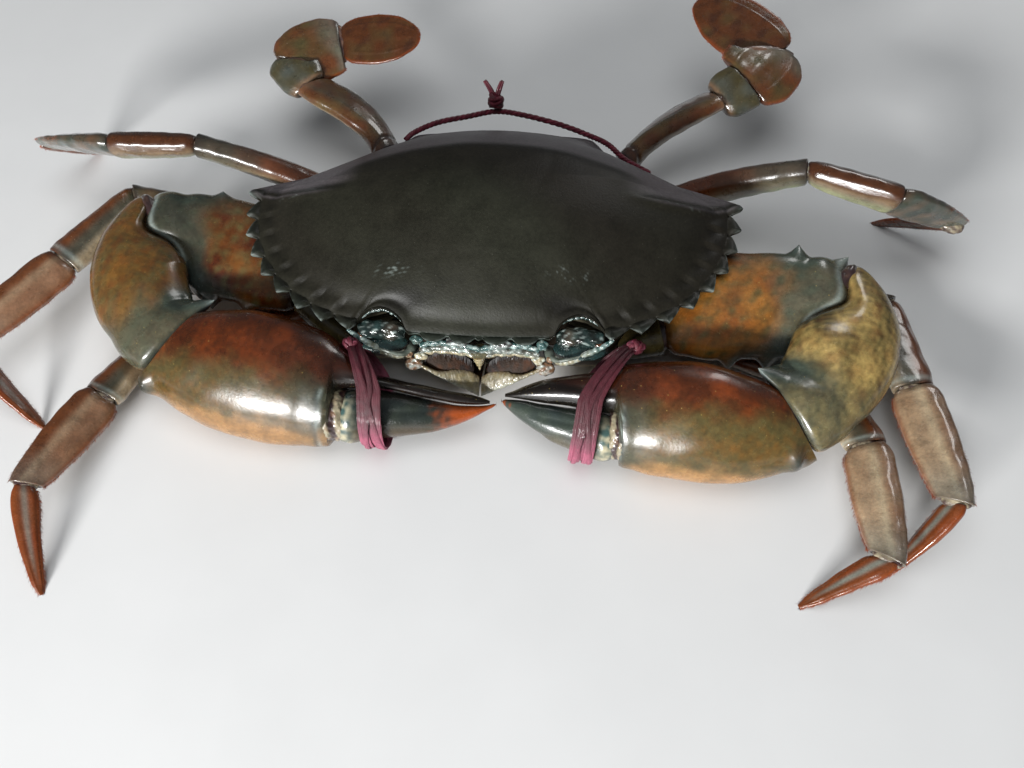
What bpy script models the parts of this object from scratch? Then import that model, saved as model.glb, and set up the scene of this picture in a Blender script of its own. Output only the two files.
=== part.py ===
"""Mud crab at life size, resting on its belly with the claws folded in front and bound.

Lengths are millimetres in this script and become metres when a mesh is made. The crab faces -Y,
its own left side is +X, and the floor is z = 0. Neighbouring plates keep a gap of GAP.
"""
from math import atan2, cos, pi, radians, sin

import bmesh
import bpy
from mathutils import Matrix, Vector

# Driving dimensions, in millimetres
MM = 0.001
GAP = 0.3
CARAPACE_WIDTH = 143.5
BODY_HEIGHT = 46.5

# Carapace margin: the tooth tips lie on an ellipse, the notches between them just inside it
FRONT_Y = -42.6
REAR_Y = 47.0
TEETH_CENTRE = (22.6, 1.0)
TEETH_RADII = (CARAPACE_WIDTH / 2 - 22.6, 42.0)
TEETH_PER_SIDE = 9
FIRST_TOOTH_ANGLE = -73.0
LAST_TOOTH_ANGLE = 8.0
TOOTH_LENGTH = 3.8
TOOTH_SHAPE = ((-0.40, 0.0), (-0.20, 0.55), (0.0, 1.0), (0.13, 0.72), (0.42, 0.10))
REAR_CORNER = (30.5, 40.5)
WAIST_CONTROLS = ((54.0, 17.5), (37.0, 24.0))
FRONT_LOBES = (4.6, 12.6)
LOBE_HALF = 3.5
LOBE_LENGTH = 2.0
ORBIT = (21.5, 34.0)
ORBIT_DEPTH = 6.5
RIM_FRONT_Z = 26.3
RIM_SIDE_Z = 31.0
RIM_REAR_Z = 19.5
RIM_SIDE_Y = 7.0
CROWN = (0.0, 2.0)
OVAL = (66.0, 42.0)
LIP = 1.7

# Underside of the carapace, a plane that drops a little toward the rear
UNDER_Z = 18.6
UNDER_SLOPE = -0.05

# Trunk: flat facets for the limb roots, and a belly that stands on the tail flap
BELLY_Z = 2.0
TRUNK_FACETS = ((17.0, -37.0), (35.0, -36.5), (44.5, -20.0), (46.0, -7.0), (46.0, 12.0),
                (42.0, 27.5), (29.5, 42.0), (12.0, 43.0))
FLAP_THICKNESS = 1.7


def unit(x, y, z):
    return Vector((x, y, z)).normalized()


def toward(azimuth, elevation):
    """Unit vector from an azimuth about +Z, from +X, and an elevation, both in degrees."""
    a, e = radians(azimuth), radians(elevation)
    return Vector((cos(a) * cos(e), sin(a) * cos(e), sin(e)))


def material(name, colour, roughness):
    made = bpy.data.materials.new(name)
    made.use_nodes = True
    shader = made.node_tree.nodes["Principled BSDF"]
    shader.inputs["Base Color"].default_value = (*colour, 1.0)
    shader.inputs["Roughness"].default_value = roughness
    return made


def add_object(name, bm, colour, roughness=0.35):
    """Turn a bmesh in millimetres into an object in metres, shaded smooth, faces outward."""
    bmesh.ops.remove_doubles(bm, verts=bm.verts, dist=1e-4)
    bmesh.ops.dissolve_degenerate(bm, edges=bm.edges, dist=1e-4)
    bmesh.ops.recalc_face_normals(bm, faces=bm.faces)
    bmesh.ops.transform(bm, matrix=Matrix.Scale(MM, 4), verts=bm.verts)
    mesh = bpy.data.meshes.new(name)
    bm.to_mesh(mesh)
    bm.free()
    mesh.materials.append(material(name, colour, roughness))
    mesh.shade_smooth()
    mesh.set_sharp_from_angle(angle=radians(40))
    made = bpy.data.objects.new(name, mesh)
    bpy.context.scene.collection.objects.link(made)
    return made


def skin(rings):
    """Closed bmesh through rings of equal count, capped by a face at each end."""
    bm = bmesh.new()
    loops = [[bm.verts.new(p) for p in ring] for ring in rings]
    count = len(rings[0])
    for low, high in zip(loops, loops[1:]):
        for i in range(count):
            j = (i + 1) % count
            bm.faces.new((low[i], low[j], high[j], high[i]))
    bm.faces.new(list(reversed(loops[0])))
    bm.faces.new(loops[-1])
    return bm


def section(centre, broad, thin, half_broad, half_thin, sides, power=0.85):
    """Superellipse ring about centre; a power below 1 squares it, above 1 sharpens its edges."""
    ring = []
    for i in range(sides):
        angle = 2 * pi * (i + 0.5) / sides
        c, s = cos(angle), sin(angle)
        across = half_broad * abs(c) ** power * (1 if c > 0 else -1)
        through = half_thin * abs(s) ** power * (1 if s > 0 else -1)
        ring.append(centre + broad * across + thin * through)
    return ring


def bezier(points, t):
    """Point on the Bezier curve of any number of control points."""
    level = [Vector(p) for p in points]
    while len(level) > 1:
        level = [a.lerp(b, t) for a, b in zip(level, level[1:])]
    return level[0]


def limb(path, broad_hint, stations, sides=10, power=0.85, thin=None):
    """Skin along a Bezier path; stations are (fraction, half breadth, half thickness[, shift]).

    broad_hint is a direction, or a pair of them between which the breadth turns on the way. Where
    the path itself turns sharply, thin is the fixed direction through the flat side instead.
    """
    rings = []
    for fraction, half_broad, half_thin, *shift in stations:
        inside = min(max(fraction, 0.0), 1.0)
        near = min(max(inside, 0.01), 0.99)
        along = (bezier(path, near + 0.01) - bezier(path, near - 0.01)).normalized()
        length = (Vector(path[-1]) - Vector(path[0])).length
        centre = bezier(path, inside) + along * (fraction - inside) * length
        if thin is not None:
            broad = Vector(thin).cross(along).normalized()
        elif len(broad_hint) == 2:
            broad = Vector(broad_hint[0]).lerp(Vector(broad_hint[1]), inside)
        else:
            broad = Vector(broad_hint)
        through = along.cross(broad).normalized()
        broad = through.cross(along).normalized()
        if shift:
            centre = centre + broad * shift[0]
        rings.append(section(centre, broad, through, half_broad, half_thin, sides, power))
    return skin(rings)


def cut(bm, point, normal, gap=GAP / 2):
    """Keep the side of a plane that its normal points away from, less half the joint's gap."""
    normal = Vector(normal).normalized()
    geometry = list(bm.verts) + list(bm.edges) + list(bm.faces)
    done = bmesh.ops.bisect_plane(bm, geom=geometry, dist=1e-5, plane_co=Vector(point) - normal * gap,
                                  plane_no=normal, clear_outer=True)
    edges = [e for e in done["geom_cut"] if isinstance(e, bmesh.types.BMEdge)]
    if edges:
        bmesh.ops.edgeloop_fill(bm, edges=edges)


def cut_floor(bm):
    cut(bm, (0, 0, 0), (0, 0, -1), gap=0.0)


def bend_plane(a, b, c):
    """Normal of the plane that halves the bend a-b-c."""
    before = (Vector(b) - Vector(a)).normalized()
    after = (Vector(c) - Vector(b)).normalized()
    return (before + after).normalized()


def union(main, extras):
    """Boolean union of a main bmesh and its spines or lobes, as one closed bmesh."""
    colour = (0.5, 0.5, 0.5)
    base = add_object("union_base", main, colour)
    group = bpy.data.collections.new("union_extras")
    bpy.context.scene.collection.children.link(group)
    for extra in extras:
        piece = add_object("union_extra", extra, colour)
        bpy.context.scene.collection.objects.unlink(piece)
        group.objects.link(piece)
    joint = base.modifiers.new("union", "BOOLEAN")
    joint.operation = "UNION"
    joint.operand_type = "COLLECTION"
    joint.collection = group
    joint.solver = "MANIFOLD"
    graph = bpy.context.evaluated_depsgraph_get()
    joined = bpy.data.meshes.new_from_object(base.evaluated_get(graph))
    for piece in [base, *group.objects]:
        bpy.data.objects.remove(piece)
    bpy.data.collections.remove(group)
    bm = bmesh.new()
    bm.from_mesh(joined)
    bpy.data.meshes.remove(joined)
    bmesh.ops.transform(bm, matrix=Matrix.Scale(1 / MM, 4), verts=bm.verts)
    keep_largest(bm)
    return bm


def keep_largest(bm):
    """Drop all but the largest closed surface."""
    bmesh.ops.remove_doubles(bm, verts=bm.verts, dist=1e-3)
    bmesh.ops.dissolve_degenerate(bm, edges=bm.edges, dist=1e-3)
    unseen = set(bm.verts)
    groups = []
    while unseen:
        stack = [unseen.pop()]
        group = set(stack)
        while stack:
            for edge in stack.pop().link_edges:
                for vert in edge.verts:
                    if vert in unseen:
                        unseen.discard(vert)
                        group.add(vert)
                        stack.append(vert)
        groups.append(group)
    groups.sort(key=len)
    for group in groups[:-1]:
        bmesh.ops.delete(bm, geom=list(group), context="VERTS")


def spine(root, tip, radius, sides=6):
    """A small pointed cone, slightly blunt, from inside its plate to its tip."""
    root, tip = Vector(root), Vector(tip)
    along = (tip - root).normalized()
    side = along.orthogonal().normalized()
    across = along.cross(side)
    rings = [section(root, side, across, radius, radius, sides, 1.0),
             section(root.lerp(tip, 0.6), side, across, radius * 0.62, radius * 0.62, sides, 1.0),
             section(tip, side, across, 0.15, 0.15, sides, 1.0)]
    return skin(rings)


# Carapace

def rim_z(x, y):
    """Height of the carapace margin: rising from the front to the last tooth, then falling."""
    if y < RIM_SIDE_Y:
        rise = (y - FRONT_Y) / (RIM_SIDE_Y - FRONT_Y)
        return RIM_FRONT_Z + (RIM_SIDE_Z - RIM_FRONT_Z) * rise
    fall = (y - RIM_SIDE_Y) / (REAR_Y - RIM_SIDE_Y)
    return RIM_SIDE_Z + (RIM_REAR_Z - RIM_SIDE_Z) * fall


def front_margin():
    """Half of the front: two rounded lobes, the inner tooth of the orbit, then the orbit's bay."""
    points = [((0.0, FRONT_Y + LOBE_LENGTH * 0.6), (0.0, FRONT_Y + LOBE_LENGTH))]
    for centre in FRONT_LOBES:
        for step in (-1.0, -0.5, 0.5, 1.0):
            x = centre + step * LOBE_HALF
            y = FRONT_Y + x * x * 0.002
            points.append(((x, y + LOBE_LENGTH * (abs(step) > 0.9)), (x, y + LOBE_LENGTH)))
    points.append(((19.6, FRONT_Y + 1.6), (19.6, FRONT_Y + 3.2)))
    inner, outer = ORBIT
    for step in range(5):
        t = step / 4
        x = inner + (outer - inner) * t
        y = FRONT_Y + 3.2 + ORBIT_DEPTH * sin(pi * (0.12 + 0.76 * t)) ** 0.7
        points.append(((x, y), (x, y + 0.6)))
    return points


def side_margin():
    """The nine teeth: each has a notch, a hooked tip and a convex outer edge."""
    points = []
    step = (LAST_TOOTH_ANGLE - FIRST_TOOTH_ANGLE) / (TEETH_PER_SIDE - 1)
    for tooth in range(TEETH_PER_SIDE):
        tip = FIRST_TOOTH_ANGLE + step * tooth
        long = 1.25 if tooth == TEETH_PER_SIDE - 1 else 1.0
        for shift, reach in TOOTH_SHAPE if tooth else TOOTH_SHAPE[1:]:
            angle = radians(tip + shift * step)
            depth = TOOTH_LENGTH * (1.0 - reach * long)
            edge, base = [], []
            for axis, wave in ((0, cos(angle)), (1, sin(angle))):
                edge.append(TEETH_CENTRE[axis] + (TEETH_RADII[axis] - depth) * wave)
                base.append(TEETH_CENTRE[axis] + (TEETH_RADII[axis] - TOOTH_LENGTH * 1.25) * wave)
            points.append((tuple(edge), tuple(base)))
    return points


def rear_margin(start):
    """The waist behind the last tooth, the rear corner and half of the rear edge."""
    controls = [Vector((*start, 0)), *[Vector((*p, 0)) for p in WAIST_CONTROLS],
                Vector((*REAR_CORNER, 0))]
    points = []
    for step in range(1, 8):
        p = bezier(controls, step / 7)
        points.append(((p.x, p.y), (p.x * 0.985, p.y * 0.985)))
    for x, y in ((28.0, 44.2), (23.5, 45.6), (16.0, 46.3), (8.0, 46.8)):
        points.append(((x, y), (x * 0.985, y * 0.985)))
    return points


def carapace_outline():
    """Closed margin from the front's middle round the left side and back: (edge, base) pairs."""
    half = front_margin() + side_margin()
    half += rear_margin(half[-1][0])
    right = [((-e[0], e[1]), (-b[0], b[1])) for e, b in reversed(half[1:])]
    return half + [((0.0, REAR_Y), (0.0, REAR_Y * 0.985))] + right


def dome_z(fraction, base, top=BODY_HEIGHT):
    """Height of the upper surface on the way from the crown (0) to the margin (1)."""
    brim = rim_z(*base)
    return brim + (top - brim) * (1.0 - fraction ** 2.25)


def carapace_ring(outline, fraction):
    """Ring of the dome: an oval round the crown that takes on the margin's bays as it nears them."""
    ring = []
    for edge, base in outline:
        angle = atan2((base[1] - CROWN[1]) / OVAL[1], (base[0] - CROWN[0]) / OVAL[0])
        oval = Vector((CROWN[0] + OVAL[0] * cos(angle), CROWN[1] + OVAL[1] * sin(angle)))
        place = Vector(CROWN).lerp(oval.lerp(Vector(base), fraction ** 2.5), fraction)
        ring.append(Vector((place.x, place.y, dome_z(fraction, base))))
    return ring


def under_ring(outline, scale, drop):
    """A ring below the brim; drop 1 reaches the underside's plane."""
    ring = []
    for e, b in outline:
        x, y = b[0] * scale[0], b[1] * (scale[1] if b[1] < 0 else scale[2])
        z = rim_z(*b) - LIP
        ring.append(Vector((x, y, z + (UNDER_Z + UNDER_SLOPE * y - z) * drop)))
    return ring


def make_carapace():
    outline = carapace_outline()
    rings = [carapace_ring(outline, f) for f in (0.12, 0.28, 0.42, 0.56, 0.70, 0.83, 0.94)]
    rings.append([Vector((e[0], e[1], rim_z(*e) + 0.1)) for e, b in outline])
    rings.append([Vector((e[0] * 0.995, e[1] * 0.995, rim_z(*e) - LIP * 0.5)) for e, b in outline])
    rings.append([Vector((b[0] * 0.99, b[1] * 0.99, rim_z(*b) - LIP)) for e, b in outline])
    rings.append(under_ring(outline, (0.88, 0.93, 0.96), 0.45))
    rings.append(under_ring(outline, (0.76, 0.84, 0.91), 1.0))
    return add_object("carapace", skin(rings), (0.035, 0.045, 0.035), 0.3)


# Trunk and tail flap

def trunk_ring(scale_x, scale_front, scale_rear, z, slope=0.0):
    half = [(0.0, -37.0), *TRUNK_FACETS, (0.0, 43.0)]
    points = half + [(-x, y) for x, y in reversed(half[1:-1])]
    return [Vector((x * scale_x, y * (scale_front if y < 0 else scale_rear), z + slope * y))
            for x, y in points]


def make_trunk():
    """Lower body: breastplate below, limb facets round the sides, the face's shelf in front."""
    rings = [trunk_ring(0.72, 0.66, 0.80, BELLY_Z),
             trunk_ring(0.92, 0.84, 0.93, BELLY_Z + 1.6),
             trunk_ring(1.0, 0.92, 1.0, BELLY_Z + 4.0),
             trunk_ring(1.0, 0.96, 1.0, 11.0),
             trunk_ring(1.0, 1.0, 1.0, UNDER_Z - GAP, UNDER_SLOPE)]
    return add_object("trunk", skin(rings), (0.45, 0.40, 0.30), 0.45)


def make_tail_flap():
    """Narrow male abdomen: down the rear wall, then forward under the belly to a blunt tip."""
    profile = ((44.6, 14.5, 14.5), (44.6, 10.0, 15.5), (44.6, 5.5, 16.0), (42.4, 2.4, 16.2),
               (37.0, 0.85, 15.5), (26.0, 0.85, 13.0), (12.0, 0.85, 9.0), (-4.0, 0.85, 6.2),
               (-17.0, 0.85, 4.6), (-22.0, 0.85, 2.6))
    half = FLAP_THICKNESS / 2
    rings = []
    for index, (y, z, half_width) in enumerate(profile):
        before = profile[max(index - 1, 0)]
        after = profile[min(index + 1, len(profile) - 1)]
        along = unit(0, after[0] - before[0], after[1] - before[1])
        outward = unit(0, -along.z, along.y)
        centre = Vector((0, y, z))
        side = Vector((1, 0, 0))
        rings.append([centre + side * half_width + outward * half,
                      centre + side * (half_width + 0.5), centre + side * half_width - outward * half,
                      centre - side * half_width - outward * half,
                      centre - side * (half_width + 0.5), centre - side * half_width + outward * half])
    return add_object("tail_flap", skin(rings), (0.50, 0.45, 0.34), 0.45)


# Face

def make_maxilliped(name, side):
    """Outer mouth leg: a curved plate hanging a little open in front of the mouth."""
    rim_outer, rim_inner = Vector((18.6, -43.2, 17.6)), Vector((0.25, -45.6, 9.5))
    base_inner, base_outer = Vector((0.25, -32.9, 3.2)), Vector((15.0, -35.9, 8.0))
    rings = []
    for step in range(6):
        t = step / 5
        inner, outer = rim_inner.lerp(base_inner, t), rim_outer.lerp(base_outer, t)
        swell = 0.5 + 1.7 * sin(pi * t)
        row = []
        for across in range(6):
            u = across / 5
            p = inner.lerp(outer, u) + unit(0, -0.7, -0.7) * swell * sin(pi * min(u, 0.9))
            row.append(p)
        thick = 1.0 + 0.5 * sin(pi * t)
        back = [p + unit(0, 0.6, 0.8) * thick for p in reversed(row)]
        rings.append([Vector((p.x * side, p.y, p.z)) for p in row + back])
    return add_object(name, skin(rings), (0.62, 0.58, 0.45), 0.4)


def make_eye(name, side):
    """Eyestalk lying in the orbit with its cornea at the outer end."""
    path = [(22.5 * side, -35.6, 22.6), (28.0 * side, -36.2, 22.8), (34.2 * side, -36.6, 22.8)]
    stations = ((-0.06, 0.9, 0.8), (0.0, 1.6, 1.5), (0.2, 1.9, 1.8), (0.45, 2.0, 1.9),
                (0.6, 2.5, 2.2), (0.8, 2.7, 2.4), (0.95, 1.9, 1.7), (1.02, 0.8, 0.7))
    return add_object(name, limb(path, (0, 0, 1), stations), (0.03, 0.02, 0.02), 0.1)


def make_antenna(name, side):
    """Antenna: a stout base beside the front and a short whip lying out along the orbit."""
    path = [(18.8 * side, -37.95, 18.8), (19.6 * side, -44.5, 21.2), (24.0 * side, -43.4, 22.4),
            (27.5 * side, -42.5, 23.2)]
    stations = ((0.0, 1.6, 1.5), (0.12, 1.6, 1.5), (0.25, 0.9, 0.9), (0.5, 0.55, 0.55),
                (0.8, 0.4, 0.4), (1.0, 0.25, 0.25))
    return add_object(name, limb(path, (0, 0, 1), stations, sides=8), (0.45, 0.45, 0.40), 0.4)


# Claws: joints of each folded claw; "h" runs up the palm's broad face, "t" through it

PALM_TILT = 40.0
PALM_H = toward(90, PALM_TILT)
PALM_T = toward(-90, 90 - PALM_TILT)
MERUS_BROAD = toward(90, 32)
ROOT_BROAD = toward(90, 8)
CLAWS = {
    "left": dict(side=1, root=(40.6, -27.5, 13.0), ischium=(50.0, -25.5, 14.0), elbow=(98.5, -17.0, 20.5),
                 turn=(110.5, -36.0, 19.5), wrist=(84.5, -54.0, 16.5), wrist_normal=(-0.85, -0.37, -0.37),
                 palm_start=(87.5, -58.0, 12.8), knuckle=(39.0, -55.0, 13.0), tip=(6.4, -49.5, 12.0),
                 inner_spine=(76.0, -46.0, 25.0), rear_spines=((0.74, 17.4), (1.06, 10.2)),
                 strap=(1.31, -13.1, 12.4, 9.2), strap_apex=(42.4, -38.2, 22.6),
                 palm=((-0.08, -6.0, 3.0, 4.0), (-0.02, -8.0, 6.0, 6.0), (0.08, -9.8, 9.8, 8.2),
                       (0.2, -12.2, 12.9, 9.8), (0.38, -14.7, 15.6, 11.0), (0.58, -15.2, 17.1, 11.3),
                       (0.78, -15.0, 16.3, 10.5), (0.93, -13.6, 15.0, 9.3), (1.0, -12.8, 14.2, 8.8),
                       (1.03, 0.8, 13.2, 6.8), (1.2, 0.8, 11.3, 5.6), (1.4, 0.7, 9.5, 4.8),
                       (1.6, 0.6, 7.6, 4.0), (1.78, 0.5, 4.6, 3.0), (1.9, 0.4, 2.3, 1.8),
                       (1.97, 0.3, 1.2, 0.6)),
                 finger=((1.04, -12.6, 0.2, 6.6), (1.1, -12.9, 0.4, 6.8), (1.3, -11.8, 0.3, 6.0),
                         (1.55, -9.7, 0.2, 4.8), (1.74, -7.0, 0.1, 3.6), (1.88, -4.2, 0.0, 2.2),
                         (1.96, -2.4, -0.3, 1.2), (2.0, -1.4, -0.6, 0.5))),
    "right": dict(side=-1, root=(-40.6, -27.5, 13.0), ischium=(-53.5, -16.5, 14.0),
                  elbow=(-102.0, 1.0, 20.5), turn=(-113.5, -21.0, 19.5), wrist=(-88.5, -39.0, 16.5),
                  wrist_normal=(0.77, -0.42, -0.48), palm_start=(-95.0, -43.0, 12.8),
                  knuckle=(-40.0, -53.0, 13.0), tip=(4.6, -50.0, 12.0), inner_spine=(-77.5, -30.5, 25.0),
                  rear_spines=((0.55, 18.8),),
                  strap=(1.28, -12.8, 10.4, 9.0), strap_apex=(-35.2, -41.2, 22.6),
                  palm=((-0.08, -6.0, 4.0, 4.0), (-0.02, -8.0, 7.5, 6.0), (0.08, -10.0, 11.5, 8.2),
                        (0.2, -13.0, 15.2, 10.0), (0.38, -15.6, 18.2, 11.3), (0.58, -16.4, 20.2, 11.8),
                        (0.78, -15.6, 19.6, 11.0), (0.93, -14.0, 18.0, 9.6), (1.0, -13.0, 16.4, 8.8),
                        (1.03, 2.2, 15.2, 6.8), (1.12, 3.0, 12.0, 5.8), (1.24, 3.1, 7.4, 4.8),
                        (1.4, 2.0, 5.2, 4.0), (1.6, 0.1, 3.2, 3.2), (1.78, -1.4, 1.6, 2.4),
                        (1.9, -1.6, 0.4, 1.5), (1.97, -1.4, -0.6, 0.5)),
                  finger=((1.04, -12.6, 1.6, 6.6), (1.12, -12.4, 2.5, 6.8), (1.26, -11.2, 2.5, 6.2),
                          (1.42, -10.5, 1.4, 5.6), (1.6, -9.5, -0.4, 4.6), (1.76, -7.5, -1.8, 3.6),
                          (1.88, -5.2, -2.0, 2.4), (1.96, -3.2, -1.8, 1.3), (2.01, -2.0, -1.2, 0.5))),
}
MERUS_FRONT_SPINES = ((0.36, 15.0), (0.58, 17.6), (0.80, 18.0))
ELBOW_TURN = 1.6
CARPUS_THIN = toward(-90, 66)
CARPUS_SHIFT = 1.3
CLAW_RED = (0.42, 0.12, 0.02)
CLAW_OLIVE = (0.20, 0.15, 0.05)


def make_claw_ischium(label, claw):
    root, joint = Vector(claw["root"]), Vector(claw["ischium"])
    stations = ((-0.4, 6.8, 4.5), (0.3, 7.2, 4.6), (0.8, 7.4, 4.6), (1.4, 7.2, 4.5))
    bm = limb([root, joint], ROOT_BROAD, stations, sides=12)
    facet = Vector((TRUNK_FACETS[2][1] - TRUNK_FACETS[1][1], TRUNK_FACETS[1][0] - TRUNK_FACETS[2][0], 0))
    facet = Vector((abs(facet.x) * claw["side"], -abs(facet.y), 0)).normalized()
    wall = Vector((TRUNK_FACETS[1][0] * claw["side"], TRUNK_FACETS[1][1], 0))
    cut(bm, wall, -facet, gap=GAP)
    cut(bm, joint, bend_plane(root, joint, claw["elbow"]))
    add_object(f"claw_{label}_ischium", bm, CLAW_OLIVE)


def make_claw_merus(label, claw):
    """Broad flattened arm with three spines on its front edge and two behind."""
    start, end = Vector(claw["ischium"]), Vector(claw["elbow"])
    stations = ((-0.08, 7.2, 4.6, 0.0), (0.08, 10.5, 5.2, 1.7), (0.3, 15.6, 6.0, 4.0), (0.6, 15.7, 6.3, 1.5),
                (0.85, 14.4, 6.2, -0.4), (1.02, 11.4, 5.4, -1.2), (1.16, 7.6, 3.8, -0.8))
    bm = limb([start, end], (ROOT_BROAD, MERUS_BROAD * 2.5), stations, sides=16, power=0.95)
    along = (end - start).normalized()
    spines = []
    for fraction, reach in MERUS_FRONT_SPINES:
        at = start.lerp(end, fraction)
        spines.append(spine(at - MERUS_BROAD * (reach - 6.0), at - MERUS_BROAD * reach + along * 2.0, 2.2))
    for fraction, reach in claw["rear_spines"]:
        at = start.lerp(end, fraction)
        spines.append(spine(at + MERUS_BROAD * (reach - 6.0), at + MERUS_BROAD * reach + along * 2.0, 2.0))
    bm = union(bm, spines)
    cut(bm, start, -bend_plane(claw["root"], start, end))
    cut(bm, end, elbow_normal(claw))
    add_object(f"claw_{label}_merus", bm, CLAW_RED)


def elbow_normal(claw):
    """Plane of the elbow, turned from the arm's line toward the wrist's."""
    arm = (Vector(claw["elbow"]) - Vector(claw["ischium"])).normalized()
    fore = (Vector(claw["turn"]) - Vector(claw["elbow"])).normalized()
    return (arm + fore * ELBOW_TURN).normalized()


def make_claw_carpus(label, claw):
    """Big rounded wrist piece that turns the folded claw, with a horn at its inner corner."""
    path = [claw["elbow"], claw["turn"], claw["wrist"]]
    inward = -CARPUS_SHIFT * claw["side"]
    stations = ((-0.22, 8.0, 4.2), (-0.08, 11.8, 6.2), (0.1, 13.2, 7.6, inward), (0.32, 13.6, 8.4, inward),
                (0.55, 13.6, 8.6, inward), (0.78, 13.2, 8.4, inward * 0.8), (1.0, 12.2, 7.6, inward * 0.3),
                (1.16, 9.6, 6.0))
    bm = limb(path, None, stations, sides=18, thin=CARPUS_THIN)
    tip = Vector(claw["inner_spine"])
    horn = skin([section(tip.lerp(bezier(path, 0.62), t), PALM_H, PALM_T, h, w, 10, 1.0)
                 for t, h, w in ((0.0, 0.3, 0.3), (0.12, 1.6, 1.3), (0.4, 5.0, 4.0), (0.8, 9.5, 7.0))])
    bm = union(bm, [horn])
    cut(bm, claw["elbow"], -elbow_normal(claw))
    cut(bm, claw["wrist"], claw["wrist_normal"])
    add_object(f"claw_{label}_carpus", bm, CLAW_OLIVE)


def claw_rings(claw, table, sides=18):
    """Rings across the palm (fraction 0 to 1) and the fingers (1 to 2) from a (low, high) table."""
    start, knuckle, tip = (Vector(claw[k]) for k in ("palm_start", "knuckle", "tip"))
    rings = []
    for fraction, low, high, half_thick in table:
        centre = start.lerp(knuckle, fraction) if fraction <= 1.0 else knuckle.lerp(tip, fraction - 1.0)
        middle = centre + PALM_H * (low + high) / 2
        rings.append(section(middle, PALM_H, PALM_T, (high - low) / 2, half_thick, sides, 0.92))
    return rings


def make_palm(label, claw):
    """Swollen palm that narrows into the fixed finger, the upper and rear one."""
    bm = skin(claw_rings(claw, claw["palm"]))
    cut(bm, claw["wrist"], -Vector(claw["wrist_normal"]))
    cut_floor(bm)
    add_object(f"claw_{label}_palm", bm, CLAW_RED)


def make_claw_dactylus(label, claw):
    """Movable finger, the lower and front one, closed against the fixed finger."""
    bm = skin(claw_rings(claw, claw["finger"], 16))
    cut_floor(bm)
    add_object(f"claw_{label}_dactylus", bm, (0.10, 0.12, 0.10))


# Walking legs: hip, then (length, azimuth, elevation) of each segment for a leg on the left side

LEG_NAMES = ("merus", "carpus", "propodus", "dactylus")
LEVEL = (0.0, 1.0, 0.0)
LEGS = {
    "leg2_left": dict(side=1, hip=(45.2, -13.5, 5.0), wall=(45.2, -13.5), wall_normal=(0.993, -0.114),
                      bones=((59.0, -22.2, -1.0), (22.1, -74.5, 8.3), (35.8, -89.9, 8.4),
                             (24.8, -157.3, -30.0)),
                      flex=(LEVEL, (-0.98, -0.1, -0.15), (-0.94, -0.05, -0.33), (-0.6, -0.6, -0.4))),
    "leg2_right": dict(side=-1, hip=(-45.2, -13.5, 4.9), wall=(-45.2, -13.5), wall_normal=(-0.993, -0.114),
                       bones=((58.6, -162.3, -0.9), (23.0, -108.2, 10.0), (32.6, -109.5, 5.3),
                              (29.2, -71.2, -22.1)),
                       flex=(LEVEL, (0.9, -0.4, -0.1), (0.84, -0.40, -0.39), (0.95, 0.2, -0.3))),
    "leg3_left": dict(side=1, hip=(46.0, 3.0, 7.0), wall=(46.0, 3.0), wall_normal=(1.0, 0.0),
                      bones=((72.3, -9.0, 0.0), (31.4, -85.6, 5.1), (39.6, -85.7, 11.2),
                             (25.7, -139.7, -42.9)),
                      flex=(LEVEL, (-0.98, -0.1, -0.1), (-0.90, -0.1, -0.4), (-0.5, 0.5, -0.7))),
    "leg3_right": dict(side=-1, hip=(-46.0, 3.0, 7.0), wall=(-46.0, 3.0), wall_normal=(-1.0, 0.0),
                       bones=((72.8, 167.5, 6.3), (32.0, -115.0, 2.0), (37.0, -121.0, 0.0),
                              (32.5, -37.0, -29.0)),
                       flex=(LEVEL, (0.85, -0.4, -0.3), (0.80, -0.50, -0.35), (0.5, 0.7, -0.5))),
    "leg4_left": dict(side=1, hip=(44.0, 20.0, 10.0), wall=(44.0, 20.0), wall_normal=(0.968, 0.25),
                      bones=((52.5, 4.0, 22.0), (26.0, -21.0, -2.0), (26.5, 12.0, -32.0),
                             (27.0, 146.0, -34.0)),
                      knee=(57.6, 27.5, 17.0), flex=((0.0, 0.35, -0.94),) * 4),
    "leg4_right": dict(side=-1, hip=(-44.0, 20.0, 10.0), wall=(-44.0, 20.0), wall_normal=(-0.968, 0.25),
                       bones=((54.0, 172.0, 21.5), (26.0, 180.0, -2.0), (33.0, 161.0, -17.0),
                              (24.0, 70.0, -46.0)), knee=(-58.4, 26.5, 17.0), flex=((0.0, 0.55, -0.83),) * 4),
}
LEG_SECTIONS = {
    "merus": ((-0.06, 4.6, 3.4), (0.06, 4.9, 3.6), (0.2, 4.3, 3.4), (0.4, 5.2, 3.4), (0.65, 5.4, 3.3),
              (0.88, 4.9, 3.0), (1.0, 4.1, 2.7), (1.07, 2.9, 2.0)),
    "carpus": ((-0.12, 2.4, 1.8), (0.0, 3.6, 2.5), (0.25, 4.3, 3.0), (0.6, 5.0, 3.2), (0.9, 5.6, 3.1),
               (1.05, 5.2, 2.7), (1.16, 3.8, 2.0)),
    "propodus": ((-0.14, 3.6, 1.8), (-0.04, 5.4, 2.4), (0.15, 6.3, 2.8), (0.45, 6.2, 2.8),
                 (0.75, 5.3, 2.5), (0.95, 4.4, 2.3), (1.06, 3.4, 1.9)),
    "dactylus": ((-0.1, 2.4, 1.6), (0.0, 3.1, 1.9), (0.18, 3.3, 1.9), (0.45, 2.8, 1.6), (0.72, 2.0, 1.2),
                 (0.9, 1.3, 0.9), (1.02, 0.6, 0.5)),
}
LEG_SIZE = {"2": (0.98, 0.86), "3": (1.0, 0.96), "4": (1.04, 1.26)}
LEG_BROWN = (0.22, 0.12, 0.06)


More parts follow.
